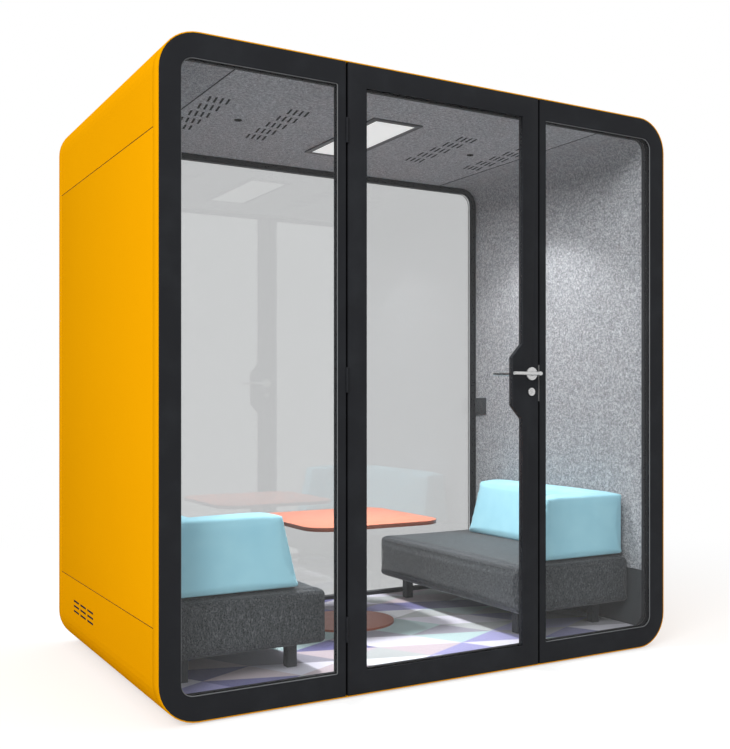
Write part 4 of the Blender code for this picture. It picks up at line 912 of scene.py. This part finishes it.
def turned(name, profile, place, material):
    """Spins (radius, height) pairs round an upright axis."""
    shape = bmesh.new()
    verts = [shape.verts.new((radius, 0.0, height)) for radius, height in profile]
    for a, b in zip(verts, verts[1:]):
        shape.edges.new((a, b))
    bmesh.ops.spin(
        shape,
        geom=shape.verts[:] + shape.edges[:],
        axis=(0, 0, 1),
        cent=(0, 0, 0),
        angle=2 * math.pi,
        steps=SPIN_STEPS,
        use_merge=True,
    )
    bmesh.ops.remove_doubles(shape, verts=shape.verts, dist=SAME_POINT)
    bmesh.ops.recalc_face_normals(shape, faces=shape.faces)
    for vert in shape.verts:
        vert.co += Vector(place)
    mesh = bpy.data.meshes.new(name)
    shape.to_mesh(mesh)
    shape.free()
    mesh.shade_smooth()
    mesh.set_sharp_from_angle(angle=SHARP_FROM)
    mesh.materials.append(material)
    return added(name, mesh)


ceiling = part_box("ceiling_panel")[0].z
for word, x in zip(("left", "right"), SENSOR_PLACES):
    profile = [
        (0.0, -REST_GAP),
        (SENSOR_RADIUS, -REST_GAP),
        (SENSOR_RADIUS, -SENSOR_DROP * 0.6),
        (SENSOR_RADIUS * 0.85, -SENSOR_DROP),
        (SENSOR_RADIUS * 0.6, -SENSOR_DROP * 0.8),
        (SENSOR_RADIUS * 0.3, -SENSOR_DROP * 1.2),
        (0.0, -SENSOR_DROP * 1.3),
    ]
    cap = turned(f"{word}_ceiling_sensor", profile, (x, SENSOR_DEPTH_PLACE, ceiling), RUBBER)
    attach(cap, "booth")
    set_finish(cap, "black_plastic")
    print(cap.name, "faces:", len(cap.data.polygons))

# %% [markdown]
# The ceiling is three felt panels side by side. A dark strip between two panels stands a hair below them,
# painted shade in the joint, and black blocks fill the slots of the vents to the face, painted shade in
# the slots, which is why they look so dark.

# %% Ceiling joints and vent slots, painted shade
JOINT_PLACE = 0.823
JOINT_WIDTH = 0.005
JOINT_DROP = 0.0012
VENT_PLACES = {"outer": 0.740, "inner": 0.406}
VENT_FORWARD = 0.009
VENT_ROWS = 5
VENT_COLUMNS = 4
VENT_ROW_PITCH = 0.110
VENT_COLUMN_PITCH = 0.025
VENT_SLANT = math.radians(-10)
VENT_SHADE_SIZE = (0.0090, 0.0740, 0.0012)
VENT_SHADE_DROP = 0.0003


def blocks(name, size, places, material, slant=0.0):
    """One mesh of equal boxes, each with its middle at a place and turned by the slant."""
    mesh = bpy.data.meshes.new(name)
    shape = bmesh.new()
    turn = Matrix.Rotation(slant, 3, "Z")
    for place in places:
        corners = bmesh.ops.create_cube(shape, size=1.0)["verts"]
        for vert in corners:
            vert.co = Vector(place) + turn @ Vector([c * side for c, side in zip(vert.co, size)])
    shape.to_mesh(mesh)
    shape.free()
    mesh.materials.append(material)
    made = added(name, mesh)
    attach(made, "booth")
    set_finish(made, "black_rubber")
    print(name, "boxes:", len(places))


def spread(count, pitch):
    """Places at an even pitch, either side of zero."""
    return [(i - (count - 1) / 2) * pitch for i in range(count)]


ceiling_low, ceiling_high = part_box("ceiling_panel")
joint_thick = JOINT_DROP - REST_GAP
joint_size = (JOINT_WIDTH, ceiling_high.y - ceiling_low.y - 2 * JOINT_DROP, joint_thick)
joint_y = (ceiling_low.y + ceiling_high.y) / 2
joint_z = ceiling - REST_GAP - joint_thick / 2
vent_y = sum(corner.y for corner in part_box("light_tray")) / 2 - VENT_FORWARD
vent_shade_z = ceiling - VENT_SHADE_DROP + VENT_SHADE_SIZE[2] / 2
# Painted shade: dark strips in the ceiling joints and black blocks in the vent slots.
for word, side in (("left", -1), ("right", 1)):
    blocks(word + "_ceiling_joint", joint_size, [(side * JOINT_PLACE, joint_y, joint_z)], RUBBER)
    for label, place in VENT_PLACES.items():
        slots = [
            (side * place + x, vent_y + y, vent_shade_z)
            for x in spread(VENT_COLUMNS, VENT_COLUMN_PITCH)
            for y in spread(VENT_ROWS, VENT_ROW_PITCH)
        ]
        blocks(f"{word}_{label}_vent_shade", VENT_SHADE_SIZE, slots, RUBBER, VENT_SLANT)

# %% [markdown]
# The slots in the steel, low on the left side and over the fans, have black blocks just inside them,
# painted shade for the dark inside of the slots. They stop the yellow edges from lighting the slots from
# within.

# %% Slot shade blocks
SIDE_SLOT_SIZE = (0.001, 0.0946, 0.0086)
SIDE_SLOT_PITCHES = (0.117, 0.021)
SIDE_SLOT_COUNT = 3
SIDE_SLOT_FROM_REAR = 0.442
SIDE_SLOT_HEIGHT = 0.212
ROOF_SLOT_SIZE = (0.0076, 0.0996, 0.001)
ROOF_SLOT_PITCH = 0.020
ROOF_SLOT_COUNT = 5
SLOT_SHADE_RECESS = 0.0015

# Painted shade: black blocks just inside the slots in the side and the roof.
shell_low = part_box("front_hoop")[0]
shell_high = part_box("rear_hoop")[1]
side_slots = [
    (shell_low.x + SLOT_SHADE_RECESS, shell_high.y - SIDE_SLOT_FROM_REAR + y, SIDE_SLOT_HEIGHT + z)
    for y in spread(SIDE_SLOT_COUNT, SIDE_SLOT_PITCHES[0])
    for z in spread(SIDE_SLOT_COUNT, SIDE_SLOT_PITCHES[1])
]
blocks("side_slot_shade", SIDE_SLOT_SIZE, side_slots, RUBBER)
for word, side in (("left", -1), ("right", 1)):
    roof_slots = [
        (side * VENT_PLACES["inner"] + x, vent_y, shell_high.z - SLOT_SHADE_RECESS)
        for x in spread(ROOF_SLOT_COUNT, ROOF_SLOT_PITCH)
    ]
    blocks(word + "_roof_dust_mesh", ROOF_SLOT_SIZE, roof_slots, RUBBER)

# %% [markdown]
# The room is a pale floor under an even white sky. The sky lights the booth softly from all round, and
# one broad lamp from the front left gives the shell its slight shading. To the camera, and in glass and
# metal, the sky is plain white, whatever strength it lights with.

# %% Room
SKY_STRENGTH = 0.78
KEY_POWER = 350.0
KEY_PLACE = (-6.0, -5.0, 5.0)
KEY_TARGET = (0.0, 0.0, 1.0)
KEY_SIZE = (4.0, 3.0)
FLOOR_SIZE = 30.0
FLOOR_FADE = (2.2, 4.5)
FLOOR_WHITE = (0.50, 0.50, 0.50)
FLOOR_LIFT = 0.57


def seen_directly(paint):
    """1 for rays whose colour is seen: straight from the camera, mirrored or through glass."""
    path = paint.node("ShaderNodeLightPath")
    return path["Is Camera Ray"].larger(path["Is Glossy Ray"]).larger(path["Is Transmission Ray"])


def make_sky():
    world = bpy.data.worlds.new("white_room")
    bpy.context.scene.world = world
    paint = Paint(world.name, world)
    lighting = paint.node("ShaderNodeBackground", {}, {0: WHITE, 1: SKY_STRENGTH})[0]
    shown = paint.node("ShaderNodeBackground", {}, {0: WHITE, 1: 1.0})[0]
    mix = paint.node("ShaderNodeMixShader", {}, {0: seen_directly(paint), 1: lighting, 2: shown})[0]
    paint.node("ShaderNodeOutputWorld", {}, {"Surface": mix})


def make_floor():
    mesh = bpy.data.meshes.new("floor")
    shape = bmesh.new()
    bmesh.ops.create_grid(shape, x_segments=1, y_segments=1, size=FLOOR_SIZE / 2)
    shape.to_mesh(mesh)
    shape.free()
    floor = added("floor", mesh)
    paint = Paint("pale_floor")
    x, y = paint.xyz()[:2]
    distance = (x * x + y * y).maths("SQRT")
    far = distance.step(*FLOOR_FADE)
    direct = seen_directly(paint)
    matt = paint.node("ShaderNodeBsdfDiffuse", {}, {0: FLOOR_WHITE})[0]
    lift = paint.node("ShaderNodeEmission", {}, {0: WHITE, 1: direct * FLOOR_LIFT})[0]
    near = paint.node("ShaderNodeAddShader", {}, {0: matt, 1: lift})[0]
    white = paint.node("ShaderNodeEmission", {}, {0: WHITE, 1: 1.0})[0]
    shown = paint.node("ShaderNodeMixShader", {}, {0: far * direct, 1: near, 2: white})[0]
    mesh.materials.append(paint.output(shown))


def make_lamp(name, kind, place, target, energy, **settings):
    data = bpy.data.lights.new(name, kind)
    data.energy = energy
    for key, value in settings.items():
        setattr(data, key, value)
    lamp = added(name, data)
    lamp.location = place
    lamp.rotation_euler = (Vector(target) - Vector(place)).to_track_quat("-Z", "Y").to_euler()
    print(name, "lamp:", energy, "W")
    return lamp


make_sky()
make_floor()
key_shape = {"shape": "RECTANGLE", "size": KEY_SIZE[0], "size_y": KEY_SIZE[1]}
make_lamp("key", "AREA", KEY_PLACE, KEY_TARGET, KEY_POWER, **key_shape)

# %% [markdown]
# The cabin has its own light. The opal panel in the ceiling shines by itself only enough to look lit, and
# two lamps of the same size just under it do the lighting. One shines all round. The other shines mostly
# down onto the table, the benches and the carpet, as prisms in the panel send the light. A lamp aimed
# straight down may be turned any way about its own axis, so both are set square to the panel. Two
# downlights near the walls have a cone with an edge. Where an upright wall cuts such a cone, the edge is an
# arch, and it shows on each side wall.

# %% Cabin light
CABIN_POWER = 22.0
CABIN_SPREAD = math.radians(170)
DOWN_POWER = 9.0
DOWN_SPREAD = math.radians(80)
SPOT_POWER = 33.0
SPOT_CONE = math.radians(112)
SPOT_BLEND = 0.35
SPOT_SIZE = 0.02
SPOT_DROP = 0.008
LAMP_DROP = 0.002
tray_low, tray_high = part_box("light_tray")
opal_low, opal_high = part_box("light_diffuser")
light_middle = (tray_low + tray_high) / 2
for name, power, spread_angle in (
    ("cabin_light", CABIN_POWER, CABIN_SPREAD),
    ("down_light", DOWN_POWER, DOWN_SPREAD),
):
    lamp = make_lamp(
        name,
        "AREA",
        (light_middle.x, light_middle.y, tray_low.z - LAMP_DROP),
        (light_middle.x, light_middle.y, 0.0),
        power,
        shape="RECTANGLE",
        size=opal_high.x - opal_low.x,
        size_y=opal_high.y - opal_low.y,
        spread=spread_angle,
    )
    lamp.rotation_euler = (0, 0, 0)
    lamp.visible_glossy = False
for word, x in zip(("left", "right"), SENSOR_PLACES):
    make_lamp(
        word + "_downlight",
        "SPOT",
        (x, SENSOR_DEPTH_PLACE, ceiling - SPOT_DROP),
        (x, SENSOR_DEPTH_PLACE, 0.0),
        SPOT_POWER,
        spot_size=SPOT_CONE,
        spot_blend=SPOT_BLEND,
        shadow_soft_size=SPOT_SIZE,
    )

# %% [markdown]
# Last come the picture settings. The Standard view keeps the colours as written.

# %% Finish
bpy.context.scene.view_settings.view_transform = "Standard"
